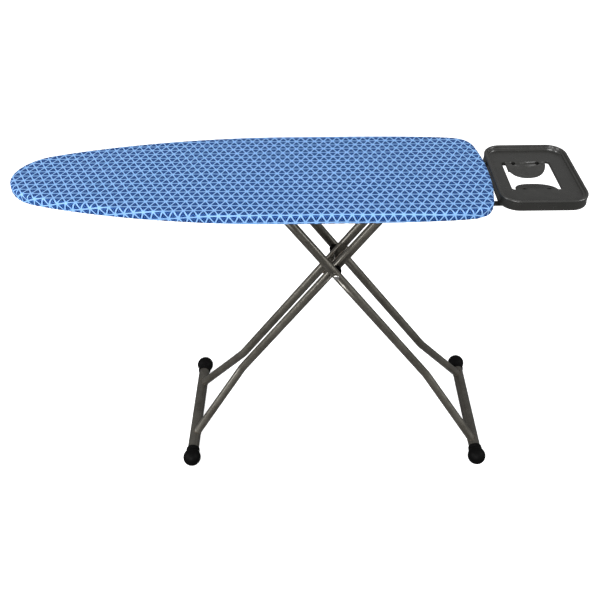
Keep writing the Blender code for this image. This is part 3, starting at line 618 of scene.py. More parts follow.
def turned(profile, sides=40, side=1, loop=False):
    """Points and faces of a shape turned round Y, from (radius, y) pairs; side -1 mirrors it."""
    angles = [2 * math.pi * i / sides for i in range(sides)]
    rings = []
    for radius, along in profile:
        rings.append([(radius * math.cos(a), side * along, radius * math.sin(a)) for a in angles])
    return shell(rings, loop)


def rounded(profile, size, steps=3):
    """A closed profile with its corners rounded off."""
    made = []
    count = len(profile)
    for i, corner in enumerate(profile):
        here = Vector(corner)
        before = Vector(profile[i - 1]) - here
        after = Vector(profile[(i + 1) % count]) - here
        cut = min(size, before.length * 0.45, after.length * 0.45)
        if cut < 0.00005 or abs(before.angle(after, 3.14) - math.pi) < 0.2:
            made.append(tuple(here))
            continue
        start = here + before.normalized() * cut
        end = here + after.normalized() * cut
        for step in range(steps + 1):
            t = step / steps
            point = start * (1 - t) ** 2 + here * (2 * t * (1 - t)) + end * t**2
            made.append(tuple(point))
    return made


def bar_between(name, start, end, radius, finish, sides=24):
    """A round rod between two points, with its end edges eased."""
    start, end = Vector(start), Vector(end)
    along = end - start
    profile = [(0, 0), (radius - 0.0005, 0), (radius, 0.0005)]
    profile += [(radius, along.length - 0.0005), (radius - 0.0005, along.length), (0, along.length)]
    points, faces = turned(profile, sides)
    turn = along.to_track_quat("Y", "Z").to_matrix().to_4x4()
    return piece(name, points, faces, finish, 40, Matrix.Translation(start) @ turn)


def finished_mesh(obj):
    """The plain mesh of an object with all its modifiers applied."""
    graph = bpy.context.evaluated_depsgraph_get()
    return bpy.data.meshes.new_from_object(obj.evaluated_get(graph))


def carved(obj, cutters, operation="DIFFERENCE"):
    """Cuts helper shapes out of a piece, or joins them on; the faces they leave keep their finish."""
    for cutter in cutters:
        modifier = obj.modifiers.new("cut", "BOOLEAN")
        modifier.operation = operation
        modifier.solver = "EXACT"
        modifier.material_mode = "TRANSFER"
        modifier.object = cutter
    mesh = finished_mesh(obj)
    obj.modifiers.clear()
    obj.data = mesh
    for cutter in cutters:
        bpy.data.objects.remove(cutter, do_unlink=True)
    return obj


def swept(name, path, radius, finish, sides=12):
    """A round wire along a list of points."""
    path = [Vector(p) for p in path]
    rings = []
    side = Vector((0, 1, 0))
    for i, here in enumerate(path):
        before = path[max(i - 1, 0)]
        after = path[min(i + 1, len(path) - 1)]
        along = (after - before).normalized()
        side = (side - along * side.dot(along)).normalized()
        other = along.cross(side)
        ring = []
        for step in range(sides):
            angle = 2 * math.pi * step / sides
            ring.append(here + (side * math.cos(angle) + other * math.sin(angle)) * radius)
        rings.append(ring)
    rings.insert(0, [path[0]] * sides)
    rings.append([path[-1]] * sides)
    points, faces = shell(rings)
    return piece(name, points, faces, finish, 50)


# ---------------------------------------------------------------- geometry node tools


def geometry_tree(name, sizes):
    """A geometry tree with named inputs; gives the tree and its input and output nodes."""
    tree = bpy.data.node_groups.new(name, "GeometryNodeTree")
    tree.interface.new_socket("Geometry", in_out="INPUT", socket_type="NodeSocketGeometry")
    for label, kind in sizes.items():
        tree.interface.new_socket(label, in_out="INPUT", socket_type=kind)
    tree.interface.new_socket("Geometry", in_out="OUTPUT", socket_type="NodeSocketGeometry")
    return tree, tree.nodes.new("NodeGroupInput"), tree.nodes.new("NodeGroupOutput")


def end_tree(tree, result, geometry, finish):
    """Ends a geometry tree: real geometry with its material."""
    real = add(tree, "GeometryNodeRealizeInstances", None, {"Geometry": geometry})
    coat = {"Geometry": real.outputs["Geometry"], "Material": FINISH[finish]}
    painted = add(tree, "GeometryNodeSetMaterial", None, coat)
    feed(tree, result.inputs["Geometry"], painted.outputs["Geometry"])
    return tree


def grown(name, tree, points, edges, faces, values, finish, sharp=35.0):
    """The plain mesh that a geometry tree makes from a source mesh."""
    mesh = bpy.data.meshes.new(name)
    mesh.from_pydata([tuple(p) for p in points], edges, faces)
    obj = bpy.data.objects.new(name, mesh)
    bpy.context.scene.collection.objects.link(obj)
    modifier = obj.modifiers.new("grow", "NODES")
    modifier.node_group = tree
    for item in tree.interface.items_tree:
        if item.in_out == "INPUT" and item.name in values:
            modifier[item.identifier] = values[item.name]
    made = finished_mesh(obj)
    obj.modifiers.remove(modifier)
    obj.data = made
    return shown(obj, finish, sharp, merge=0.000005)


def lattice_tree():
    """Expanded metal inside an outline: zigzag strands that meet their neighbours at each turn."""
    sizes = dict.fromkeys(["Diamond Length", "Diamond Width", "Strand Width"], "NodeSocketFloat")
    sizes.update({"Strand Thickness": "NodeSocketFloat"})
    sizes.update(dict.fromkeys(["Columns", "Rows"], "NodeSocketInt"))
    tree, given, result = geometry_tree("expanded_metal", sizes)
    size = given.outputs
    outline = size["Geometry"]
    half_long = sums(tree, "MULTIPLY", size["Diamond Length"], 0.5)
    half_wide = sums(tree, "MULTIPLY", size["Diamond Width"], 0.5)
    box = add(tree, "GeometryNodeBoundBox", None, {"Geometry": outline})
    low = add(tree, "ShaderNodeSeparateXYZ", None, {0: box.outputs["Min"]}).outputs
    start = vector_of(tree, X=low["X"])
    along = vector_of(tree, X=half_long)
    spots = {"Count": size["Columns"], "Start Location": start, "Offset": along}
    row = add(tree, "GeometryNodeMeshLine", None, spots)
    start = vector_of(tree, Y=low["Y"], Z=low["Z"])
    across = vector_of(tree, Y=half_wide)
    spots = {"Count": size["Rows"], "Start Location": start, "Offset": across}
    column = add(tree, "GeometryNodeMeshLine", None, spots)
    spots = {"Points": column.outputs["Mesh"], "Instance": row.outputs["Mesh"]}
    copies = add(tree, "GeometryNodeInstanceOnPoints", None, spots)
    real = add(tree, "GeometryNodeRealizeInstances", None, {"Geometry": copies.outputs[0]})
    index = tree.nodes.new("GeometryNodeInputIndex").outputs["Index"]
    row_number = sums(tree, "FLOOR", sums(tree, "DIVIDE", index, size["Columns"]))
    place = sums(tree, "MODULO", index, size["Columns"])
    turn = sums(tree, "MULTIPLY", sums(tree, "ADD", row_number, place), math.pi)
    reach = sums(tree, "MULTIPLY", half_wide, 0.44)
    swing = sums(tree, "MULTIPLY", sums(tree, "COSINE", turn), reach)
    shift = {"Geometry": real.outputs["Geometry"], "Offset": vector_of(tree, Y=swing)}
    moved = add(tree, "GeometryNodeSetPosition", None, shift)
    here = tree.nodes.new("GeometryNodeInputPosition").outputs["Position"]
    above = vector_sum(tree, "ADD", here, (0, 0, 0.1))
    aim = {"Target Geometry": outline, "Source Position": above}
    aim.update({"Ray Direction": (0, 0, -1), "Ray Length": 1.0})
    ray = add(tree, "GeometryNodeRaycast", None, aim)
    outside = add(tree, "FunctionNodeBooleanMath", {"operation": "NOT"}, {0: ray.outputs["Is Hit"]})
    cut = {"Geometry": moved.outputs["Geometry"], "Selection": outside.outputs[0]}
    kept = add(tree, "GeometryNodeDeleteGeometry", None, cut)
    strands = add(tree, "GeometryNodeMeshToCurve", None, {"Mesh": kept.outputs["Geometry"]})
    flat = add(tree, "GeometryNodeSetCurveNormal", {"mode": "Z_UP"}, {"Curve": strands.outputs["Curve"]})
    form = {"Width": size["Strand Width"], "Height": size["Strand Thickness"]}
    section = add(tree, "GeometryNodeCurvePrimitiveQuadrilateral", None, form)
    sweep = {"Curve": flat.outputs["Curve"], "Profile Curve": section.outputs["Curve"]}
    sweep.update({"Fill Caps": True})
    solid = add(tree, "GeometryNodeCurveToMesh", None, sweep)
    return end_tree(tree, result, solid.outputs["Mesh"], "steel")


def bead_tree(name, finish, segments, rings):
    """Beads laid one after another along a line: weld ripples or stitches."""
    lengths = ["Pitch", "Bead Length", "Bead Width", "Bead Height", "Unevenness"]
    sizes = dict.fromkeys(lengths, "NodeSocketFloat")
    sizes["Seed"] = "NodeSocketInt"
    tree, given, result = geometry_tree(name, sizes)
    size = given.outputs
    line = add(tree, "GeometryNodeMeshToCurve", None, {"Mesh": size["Geometry"]})
    spots = {"Curve": line.outputs["Curve"], "Length": size["Pitch"]}
    spaced = add(tree, "GeometryNodeCurveToPoints", {"mode": "LENGTH"}, spots)
    form = {"Segments": segments, "Rings": rings, "Radius": 0.5}
    bead = add(tree, "GeometryNodeMeshUVSphere", None, form)
    scale = vector_of(tree, X=size["Bead Height"], Y=size["Bead Width"], Z=size["Bead Length"])
    form = {"Geometry": bead.outputs["Mesh"], "Scale": scale}
    shaped = add(tree, "GeometryNodeTransform", None, form)
    vary = add(tree, "FunctionNodeRandomValue", {"data_type": "FLOAT"}, {"Seed": size["Seed"]})
    feed(tree, vary.inputs[2], sums(tree, "SUBTRACT", 1.0, size["Unevenness"]))
    feed(tree, vary.inputs[3], sums(tree, "ADD", 1.0, size["Unevenness"]))
    spots = {"Points": spaced.outputs["Points"], "Instance": shaped.outputs["Geometry"]}
    spots.update({"Rotation": spaced.outputs["Rotation"], "Scale": vary.outputs[1]})
    copies = add(tree, "GeometryNodeInstanceOnPoints", None, spots)
    return end_tree(tree, result, copies.outputs["Instances"], finish)


def repeat_tree(name, finish):
    """The same part set on every point given."""
    tree, given, result = geometry_tree(name, {"Part": "NodeSocketObject"})
    part = add(tree, "GeometryNodeObjectInfo", None, {"Object": given.outputs["Part"]})
    spots = {"Points": given.outputs["Geometry"], "Instance": part.outputs["Geometry"]}
    copies = add(tree, "GeometryNodeInstanceOnPoints", None, spots)
    return end_tree(tree, result, copies.outputs["Instances"], finish)


# ---------------------------------------------------------------- the board's outline

# Each knot: its place from the nose, the way the edge runs there, and its handle lengths.
OUTLINE_KNOTS = [
    ((0, 0), (0, 1), 0, 0.050),
    ((0.075, 0.100), (0.94, 0.34), 0.036, 0.150),
    ((0.680, 0.1935), (1, 0), 0.220, 0.170),
    ((1.112, 0.1828), (0.99, -0.10), 0.110, 0.044),
    ((1.189, 0.124), (0.17, -0.98), 0.046, 0.035),
    ((BOARD_LENGTH, 0), (0, -1), 0.060, 0),
]


def board_outline(count):
    """Points evenly spaced round the board, with their outward ways and how sharply it turns."""
    half = []
    for (at, way, _, ahead), (to, next_way, behind, _) in zip(OUTLINE_KNOTS, OUTLINE_KNOTS[1:]):
        start = Vector((*at, 0))
        end = Vector((*to, 0))
        out = start + Vector((*way, 0)) * ahead
        back = end - Vector((*next_way, 0)) * behind
        half += interpolate_bezier(start, out, back, end, 80)[:-1]
    half.append(Vector((BOARD_LENGTH, 0, 0)))
    half = np.array([(p.x + NOSE_X, p.y) for p in half])
    path = np.vstack([half[::-1], half[1:] * (1, -1)])
    travel = np.concatenate([[0], np.cumsum(np.linalg.norm(np.diff(path, axis=0), axis=1))])
    at = np.linspace(0, travel[-1], count, endpoint=False)
    points = np.column_stack([np.interp(at, travel, path[:, k]) for k in (0, 1)])
    along = np.roll(points, -2, 0) - np.roll(points, 2, 0)
    along /= np.linalg.norm(along, axis=1)[:, None]
    outward = np.column_stack([along[:, 1], -along[:, 0]])
    change = np.roll(along, -4, 0) - np.roll(along, 4, 0)
    turn = np.linalg.norm(change, axis=1) / (8 * travel[-1] / count)
    return points, outward, turn


def spine_of(points):
    """The place on the board's middle line that each point of a ring is drawn in towards."""
    inner = np.clip(points[:, 0], NOSE_X + SPINE_START, NOSE_X + SPINE_END)
    return np.column_stack([inner, np.zeros(len(points))])


def lift(points, heights):
    """Flat points with a height each."""
    return np.column_stack([points, np.broadcast_to(heights, len(points))])


# ---------------------------------------------------------------- cover, pad and top


def cover_sections():
    """The cover's section, outward from the flat top: (inset, height) with the length along it."""
    stations = []
    for step in range(13):
        angle = math.pi / 2 * step / 12
        inset = ROLL * (1 - math.sin(angle) ** 0.8)
        stations.append((inset, SIDE_TOP + ROLL_DROP * math.cos(angle) ** 0.8))
    for step in range(1, 7):
        stations.append((0, SIDE_TOP + (HEM_BEND_HEIGHT - SIDE_TOP) * step / 6))
    for step in range(1, 6):
        angle = math.pi / 2 * step / 5
        height = HEM_BEND_HEIGHT * (1 - math.sin(angle))
        stations.append((HEM_BEND * (1 - math.cos(angle)), height))
    for step in range(1, 9):
        stations.append((HEM_BEND + (COVER_LIP - HEM_BEND) * step / 8, 0))
    for step in range(1, 9):
        angle = math.radians(90 - 36 * step)
        inset = COVER_LIP + CASING * math.cos(angle)
        stations.append((inset, CASING * (math.sin(angle) - 1)))
    lengths = [0.0]
    for before, after in zip(stations, stations[1:]):
        lengths.append(lengths[-1] + math.dist(before, after))
    return stations, lengths


def ironing_cover():
    """The fitted cover: a taut top, a puckered side and a gathered hem with a casing under the rim."""
    count = 900
    points, outward, turn = board_outline(count)
    stations, lengths = cover_sections()
    rng = np.random.default_rng(7)
    around = np.arange(count) / count * 2 * math.pi
    gather = np.zeros(count)
    for waves, weight in ((97, 0.35), (143, 0.4), (181, 0.3), (61, 0.25), (29, 0.2)):
        gather += weight * np.sin(waves * around + rng.uniform(0, 2 * math.pi))
    slow = np.zeros(count)
    for waves in (5, 9, 14, 23):
        slow += np.sin(waves * around + rng.uniform(0, 2 * math.pi)) / 4
    tight = np.clip(turn * 0.09, 0, 1)
    for _ in range(12):
        tight = (np.roll(tight, 1) + tight + np.roll(tight, -1)) / 3
    rings, cloth = [], []
    flat_top = points - outward * ROLL
    spine = spine_of(points)
    for share in np.linspace(1, 0, 15)[:-1]:
        ring = flat_top + (spine - flat_top) * share
        swell = SWELL * np.sin(ring[:, 0] * 23 + 1.0) * np.cos(ring[:, 1] * 31) * share
        rings.append(lift(ring, BOARD_TOP - GAP_UNDER_TOP + swell))
        cloth.append(ring)
    for (inset, height), length in zip(stations, lengths):
        low = np.clip((SIDE_TOP - height) / SIDE_TOP, 0, 1)
        below = height < HEM_BEND_HEIGHT + 0.0001
        under = np.clip((inset - HEM_BEND) / 0.012, 0, 1) if below else 0.0
        pucker = SIDE_GATHER + SIDE_GATHER_AT_CORNERS * tight
        pull = SIDE_WAVE * low * slow + pucker * low * gather
        drop = (HEM_DROP + HEM_DROP_AT_CORNERS * tight) * under * (gather + 0.6)
        ring = points - outward * (inset + pull.clip(-0.001, 0.001) + 0.0002)[:, None]
        rings.append(lift(ring, COVER_BOTTOM + height - drop.clip(-0.0008, 0.004)))
        cloth.append(flat_top + outward * length)
    bm = bmesh.new()
    uv = bm.loops.layers.uv.new("cloth")
    rows, flat = [], {}
    for ring, laid in zip(rings, cloth):
        row = [bm.verts.new(p) for p in ring]
        flat.update(zip(row, laid))
        rows.append(row)
    for low, high in zip(rows, rows[1:]):
        for i in range(count):
            j = (i + 1) % count
            face = bm.faces.new((low[i], high[i], high[j], low[j]))
            for loop in face.loops:
                loop[uv].uv = flat[loop.vert]
    mesh = bpy.data.meshes.new("fitted_cover")
    bm.to_mesh(mesh)
    bm.free()
    cover = shown(bpy.data.objects.new("fitted_cover", mesh), "cotton", 60, turn_out=False)
    wall = cover.modifiers.new("cloth", "SOLIDIFY")
    wall.thickness = CLOTH
    wall.offset = -1
    stands_for(cover, "board", "cotton_cover", "ironing_cover")
    edge = cloth[-1]
    area = abs(np.sum(edge[:, 0] * np.roll(edge[:, 1], -1) - np.roll(edge[:, 0], -1) * edge[:, 1])) / 2
    size = edge.max(0) - edge.min(0)
    hem_line = rings[-10] - np.array([0, 0, HEM_SEAM_DROP])
    return cover, (float(size[1]), float(size[0])), float(area), hem_line


def hem_stitches(line):
    """The row of stitches that closes the casing in the hem."""
    tree = bead_tree("stitch_row", "thread", 6, 3)
    count = len(line)
    edges = [(i, (i + 1) % count) for i in range(count)]
    values = {"Pitch": 0.0034, "Bead Length": 0.0026, "Bead Width": 0.0006, "Bead Height": 0.0006}
    values.update({"Unevenness": 0.12, "Seed": 3})
    row = grown("hem_stitches", tree, line, edges, [], values, "thread", 60)
    return stands_for(row, "board", "cotton_cover")


def pad():
    """The foam pad, with a soft edge."""
    count = 480
    points, outward, _ = board_outline(count)
    spine = spine_of(points)
    stations = [(0.0058, PAD_BOTTOM), (0.0047, PAD_BOTTOM + 0.0010), (0.0045, PAD_BOTTOM + 0.0026)]
    stations += [(0.0056, PAD_BOTTOM + 0.0042), (0.0082, PAD_TOP - 0.0007), (PAD_TOP_EDGE, PAD_TOP)]
    rings = []
    shares = np.linspace(1, 0, 10)[:-1]
    for share in shares:
        ring = points - outward * PAD_UNDER_EDGE
        ring = ring + (spine - ring) * share
        rings.append(lift(ring, PAD_BOTTOM))
    for inset, height in stations:
        rings.append(lift(points - outward * inset, height))
    for share in shares[::-1]:
        ring = points - outward * PAD_TOP_EDGE
        ring = ring + (spine - ring) * share
        rings.append(lift(ring, PAD_TOP - 0.0002))
    foam = piece("pad_foam", *shell(rings), "foam", 50)
    stands_for(foam, "board", "foam", "foam_pad")
    return foam


def steam_mesh():
    """The expanded-metal top: diamonds that let the steam through, held by the rim."""
    points, outward, _ = board_outline(240)
    ring = lift(points - outward * 0.0052, LATTICE_Z)
    values = {"Diamond Length": 0.020, "Diamond Width": 0.0088, "Strand Width": 0.0013}
    values.update({"Strand Thickness": 0.0009, "Columns": 121, "Rows": 90})
    tree = lattice_tree()
    face = [tuple(range(len(ring)))]
    top = grown("steam_mesh", tree, ring, [], face, values, "steel", 35)
    return stands_for(top, "board", "zinc_steel", "mesh_top")


# ---------------------------------------------------------------- iron rest


def rounded_ring(x_range, half_y, corner, inset, z, bend_steps, side_steps):
    """One ring of a rounded rectangle, moved inward by inset, at a height."""
    radius = max(corner - inset, 0.001)
    points = []
    for quarter, (sx, sy) in enumerate(((1, 1), (-1, 1), (-1, -1), (1, -1))):
        cx = (x_range[1] - corner) if sx > 0 else (x_range[0] + corner)
        cy = sy * (half_y - corner)
        for step in range(bend_steps + 1):
            angle = math.pi / 2 * (quarter + step / bend_steps)
            points.append(Vector((cx + radius * math.cos(angle), cy + radius * math.sin(angle), z)))
    ring = []
    for number, point in enumerate(points):
        ring.append(tuple(point))
        if number % (bend_steps + 1) == bend_steps:
            after = points[(number + 1) % len(points)]
            ring += [tuple(point.lerp(after, step / side_steps)) for step in range(1, side_steps)]
    return ring


def lobe(name, side):
    """One screwing lobe: a D-shaped plate with eased edges, two bosses and their screw recesses, whose
    walls are painted black as painted shade.
    """
    half = LOBE_WIDTH / 2
    steps = 48
    thick = LOBE_HALF_THICKNESS
    ease = LOBE_EASE
    rings = [[(0, 0.02, -thick)] * (steps + 1)]
    for inset, z in ((ease, -thick), (0, ease - thick), (0, thick - ease), (ease, thick)):
        ring = []
        for step in range(steps + 1):
            angle = math.pi * step / steps
            across = math.copysign(abs(math.cos(angle)) ** 0.85, math.cos(angle))
            scale = 1 - inset / half
            ring.append((half * across * scale, LOBE_DEPTH * math.sin(angle) ** 0.85 * scale, z))
        rings.append(ring)
    rings.append([(0, 0.02, thick)] * (steps + 1))
    turn = Matrix.Rotation(math.pi if side > 0 else 0, 4, "Z") @ Matrix.Rotation(-LOBE_SLOPE, 4, "X")
    middle = sum(OPENING_X) / 2
    at = Matrix.Translation((middle, side * LOBE_ROOT_Y, LOBE_ROOT_Z)) @ turn
    plate = piece(name, *shell(rings), "tray", 40, at)
    height = LOBE_ROOT_Z - (LOBE_ROOT_Y - SCREW_Y) * math.tan(LOBE_SLOPE)
    bosses, holes = [], []
    for number, x in enumerate(SCREW_X):
        line = (x, side * SCREW_Y)
        boss = ((*line, ARM_TOP + GAP), (*line, height), BOSS_RADIUS)
        bosses.append(bar_between(f"{name}_boss_{number}", *boss, "tray", 32))
        # Painted shade: the recess cutter carries the black finish onto the recess walls, standing in
        # for the shade in the hollow.
        recess = ((*line, ARM_TOP + GAP + SCREW_SEAT), (*line, height + 0.01), RECESS_RADIUS)
        holes.append(bar_between(f"{name}_recess_{number}", *recess, "black", 32))
        bore = ((*line, ARM_TOP - 0.01), (*line, ARM_TOP + 0.01), SCREW_BORE_RADIUS)
        holes.append(bar_between(f"{name}_bore_{number}", *bore, "tray", 20))
    carved(plate, bosses, "UNION")
    return carved(plate, holes)


def iron_rest():
    """The moulded tray: a bead, a stepped inner wall, a sunk floor, its opening and two lobes."""
    profile = [
        (0.0012, TRAY_BOTTOM),
        (0.0002, TRAY_BOTTOM + 0.0008),
        (0.0000, TRAY_BOTTOM + 0.0030),
        (0.0006, TRAY_BOTTOM + 0.0034),
        (0.0009, TRAY_BOTTOM + 0.0060),
        (0.0009, TRAY_TOP - 0.0062),
        (0.0001, TRAY_TOP - 0.0050),
    ]
    wide = BEAD_HALF_WIDTH
    tall = BEAD_HEIGHT
    for step in range(13):
        angle = math.pi * step / 12
        profile.append((wide - wide * math.cos(angle), TRAY_TOP - tall + tall * math.sin(angle)))
    profile += [
        (0.0078, TRAY_TOP - 0.0052),
        (0.0088, TRAY_TOP - 0.0058),
        (0.0112, TRAY_TOP - 0.0062),
        (0.0118, TRAY_TOP - 0.0067),
        (0.0124, TRAY_FLOOR + 0.0014),
        (0.0132, TRAY_FLOOR + 0.0004),
        (0.0150, TRAY_FLOOR),
        (0.0200, TRAY_FLOOR),
    ]
    rings = []
    for inset, z in profile:
        rings.append(rounded_ring(TRAY_X, TRAY_HALF_Y, TRAY_CORNER, inset, z, 12, 14))
    edge = ((-0.0042, 0), (-0.0024, 0), (-0.0020, 0.0005), (-0.0008, 0.0005), (-0.0002, 0), (0, -0.0008))
    middle = sum(OPENING_X) / 2
    for inset, rise in (*edge, (0.0002, -0.0060)):
        ring = rounded_ring(OPENING_X, OPENING_HALF_Y, OPENING_CORNER, inset, TRAY_FLOOR, 12, 14)
        clear = [abs(x - middle) > LOBE_WIDTH * 0.48 or rise < -0.001 for x, _, _ in ring]
        rings.append([(x, y, z + rise * open_edge) for (x, y, z), open_edge in zip(ring, clear)])
    points, faces = shell(rings)
    tray = piece("iron_rest_moulding", points, faces, "tray", 32)
    facing = max(tray.data.polygons, key=lambda p: p.area)
    if facing.normal.z < 0:
        tray.data.flip_normals()
    wall = tray.modifiers.new("wall", "SOLIDIFY")
    wall.thickness = TRAY_WALL
    wall.offset = -1
    tray.data = finished_mesh(tray)
    tray.modifiers.clear()
    lobes = [lobe(f"lobe_{name}", side) for name, side in ENDS.items()]
    with bpy.context.temp_override(active_object=tray, selected_editable_objects=[tray, *lobes]):
        bpy.ops.object.join()
    return stands_for(tray, "board", "tray_plastic", "iron_rest_tray")


def tray_screws():
    """Four pan-head screws with cross recesses, set on the arms' ears."""
    seat = ARM_TOP + GAP + SCREW_SEAT + GAP
    profile = [(0, 0.0026), (0.0014, 0.00255), (0.0028, 0.0021), (0.0037, 0.0013), (0.0040, 0.0004)]
    profile += [(0.0040, 0), (0.0020, 0), (0.0020, -0.0105), (0.0006, -0.0120), (0, -0.0120)]
    upright = Matrix.Rotation(math.pi / 2, 4, "X")
    screw = piece("one_screw", *turned(profile, 28), "steel", 40, upright)
    slots = []
    for number, turn in enumerate((0, math.pi / 2)):
        ends = [(-0.0022, 0, 0.0027), (0.0022, 0, 0.0027)]
        slot = bar_between(f"slot_{number}", *ends, 0.0006, "steel", 4)
        slot.data.transform(Matrix.Rotation(turn, 4, "Z"))
        slots.append(slot)
    carved(screw, slots)
    places = [(x, side * SCREW_Y, seat) for side in ENDS.values() for x in SCREW_X]
    tree = repeat_tree("tray_screw_set", "steel")
    screws = grown("tray_screws", tree, places, [], [], {"Part": screw}, "steel", 40)
    bpy.data.objects.remove(screw, do_unlink=True)
    return stands_for(screws, "board", "zinc_steel", *[f"tray_screw_{n}" for n in range(1, 5)])


# ---------------------------------------------------------------- legs


def leg_frame(x, z, angle):
    """A leg's place and turn: its X runs along the leg to the foot, Y stays across the board."""
    return Matrix.Translation((x, 0, z)) @ Matrix.Rotation(angle, 4, "Y")


def leg_path(y, side, top, foot):
    """The tube's centre line with its direction angle: straight, a bend, then out to the foot bar."""
    bend = top + LINK + BEND_AT
    lean = math.atan2(FLARE, foot - bend)
    tangent = BEND_RADIUS * math.tan(lean / 2)
    path = [(top - TUBE_OVERRUN, y, 0.0), (top + LINK * 0.5, y, 0.0), (top + LINK * 1.5, y, 0.0)]
    for step in range(13):
        angle = lean * step / 12
        along = bend - tangent + BEND_RADIUS * math.sin(angle)
        path.append((along, y + BEND_RADIUS * (1 - math.cos(angle)), angle))
    path.append((foot - 0.05, y + FLARE - 0.05 * math.tan(lean), lean))
    path.append((foot, y + FLARE, lean))
    return [(along, side * across, side * angle) for along, across, angle in path]


def tube_ring(along, across, lean, radius, sides, foot=None):
    """One ring of a leg tube; with foot given, it is coped to the foot bar."""
    ring = []
    for step in range(sides):
        turn = 2 * math.pi * step / sides
        sideways = radius * math.cos(turn)
        x = along - sideways * math.sin(lean)
        y = across + sideways * math.cos(lean)
        z = radius * math.sin(turn)
        if foot is not None:
            target = foot - math.sqrt(BAR_RADIUS**2 - z**2)
            y += (target - x) * math.tan(lean)
            x = target
        ring.append((x, y, z))
    return ring


def leg_tube(kind, name, side, y, top, at):
    """A hollow leg tube with real rod holes, coped and welded to its foot bar."""
    foot = top + LINK + LOWER_LEG
    path = leg_path(y, side, top, foot)
    sides = 40
    outer = [tube_ring(*point, TUBE_RADIUS, sides) for point in path[:-1]]
    cope = tube_ring(*path[-1], TUBE_RADIUS, sides, foot)
    inner = [tube_ring(*point, TUBE_RADIUS - TUBE_WALL, sides) for point in path[:-1]]
    hidden = tube_ring(*path[-1], TUBE_RADIUS - TUBE_WALL, sides, foot)
    points, faces = shell([*outer, cope, hidden, *inner[::-1]], loop=True)
    tube = piece(f"{kind}_tube_{name}", points, faces, "paint", 40)
    holes = []
    for place in (top, top + LINK):
        ends = [(place, side * y - 0.02, 0), (place, side * y + 0.02, 0)]
        holes.append(bar_between(f"hole_{kind}_{name}_{place:.3f}", *ends, ROD_HOLE_RADIUS, "paint", 24))
    carved(tube, holes)
    tube.data.transform(at)
    stands_for(tube, f"{kind}_leg", "dark_paint", f"{kind}_leg_tube_{name}")
    return [at @ Vector(p) for p in tube_ring(*path[-1], TUBE_RADIUS + WELD_RISE, sides, foot)]


def foot_bar(kind, foot, at):
    """The hollow cross bar that a pair of legs stands on."""
    spots = np.linspace(-BAR_HALF_LENGTH, BAR_HALF_LENGTH, 25)
    profile = [(BAR_RADIUS, y) for y in spots] + [(BAR_RADIUS - BAR_WALL, y) for y in spots[::-1]]
    points, faces = turned(profile, 48, loop=True)
    # The bar's darker copy of the leg paint is painted shade.
    bar = piece(f"{kind}_bar", points, faces, "bar_paint_shaded", 40, at @ Matrix.Translation((foot, 0, 0)))
    return stands_for(bar, f"{kind}_leg", "dark_paint", f"{kind}_foot_bar")


def foot_cap(kind, name, side, foot, at):
    """A black ball foot with a ribbed collar, a moulding line and a small flat to stand on."""
    collar = CAP_BALL_Y - CAP_COLLAR_END
    ball = CAP_BALL_RADIUS
    tip = CAP_BALL_Y + ball
    neck = math.asin((CAP_COLLAR_RADIUS + 0.0005) / ball)
    profile = [(0, tip - 0.0012), (0.0022, tip - 0.0010), (0.0028, tip - 0.0001)]
    steps = 26
    for step in range(2, steps + 1):
        angle = (math.pi - neck) * step / steps
        profile.append((ball * math.sin(angle), CAP_BALL_Y + ball * math.cos(angle)))
    last = profile[-1][1]
    for y in (collar + 0.0100, collar + 0.0060):
        if y < last:
            profile += [
                (CAP_COLLAR_RADIUS, y + 0.0012),
                (CAP_COLLAR_RADIUS + 0.0006, y + 0.0007),
                (CAP_COLLAR_RADIUS + 0.0006, y - 0.0007),
                (CAP_COLLAR_RADIUS, y - 0.0012),
            ]
    profile += [
        (CAP_COLLAR_RADIUS, collar + 0.0012),
        (CAP_COLLAR_RADIUS - 0.0003, collar + 0.0004),
        (CAP_COLLAR_RADIUS - 0.0012, collar),
        (BAR_RADIUS + GAP, collar),
        (BAR_RADIUS + GAP, BAR_HALF_LENGTH + 0.0005),
        (0, BAR_HALF_LENGTH + 0.0005),
    ]
    points, faces = turned(profile, 48, side)
    place = at @ Matrix.Translation((foot, 0, 0))
    points = [place @ Vector(p) for p in points]
    points = [(p.x, p.y, max(p.z, 0.0)) for p in points]
    cap = piece(f"{kind}_foot_{name}", points, faces, "black", 38)
    return stands_for(cap, f"{kind}_leg", "black_plastic", f"{kind}_foot_cap_{name}")


def tube_plug(kind, name, side, y, top, at):
    """The domed plastic plug in a tube's upper end."""
    bore = TUBE_RADIUS - TUBE_WALL - GAP
    profile = [(0, 0.0030), (0.004, 0.00295), (0.0075, 0.0026), (0.0100, 0.0019), (0.0112, 0.0011)]
    profile += [(0.0116, 0.0004), (0.0114, GAP), (bore, GAP), (bore, -0.0080), (0, -0.0080)]
    end = Matrix.Translation((top - TUBE_OVERRUN, side * y, 0))
    place = at @ end @ Matrix.Rotation(math.pi / 2, 4, "Z")
    plug = piece(f"{kind}_plug_{name}", *turned(profile, 32), "black", 35, place)
    return stands_for(plug, f"{kind}_leg", "black_plastic", f"{kind}_tube_plug_{name}")


def ring_piece(name, inner, outer, low, high, side, place, finish, body, slot, node):
    """A plain ring or sleeve round a rod, with eased edges."""
    profile = rounded([(outer, high), (outer, low), (inner, low), (inner, high)], 0.0007)
    ring = piece(name, *turned(profile, 40, side, loop=True), finish, 35, place)
    return stands_for(ring, body, slot, node)


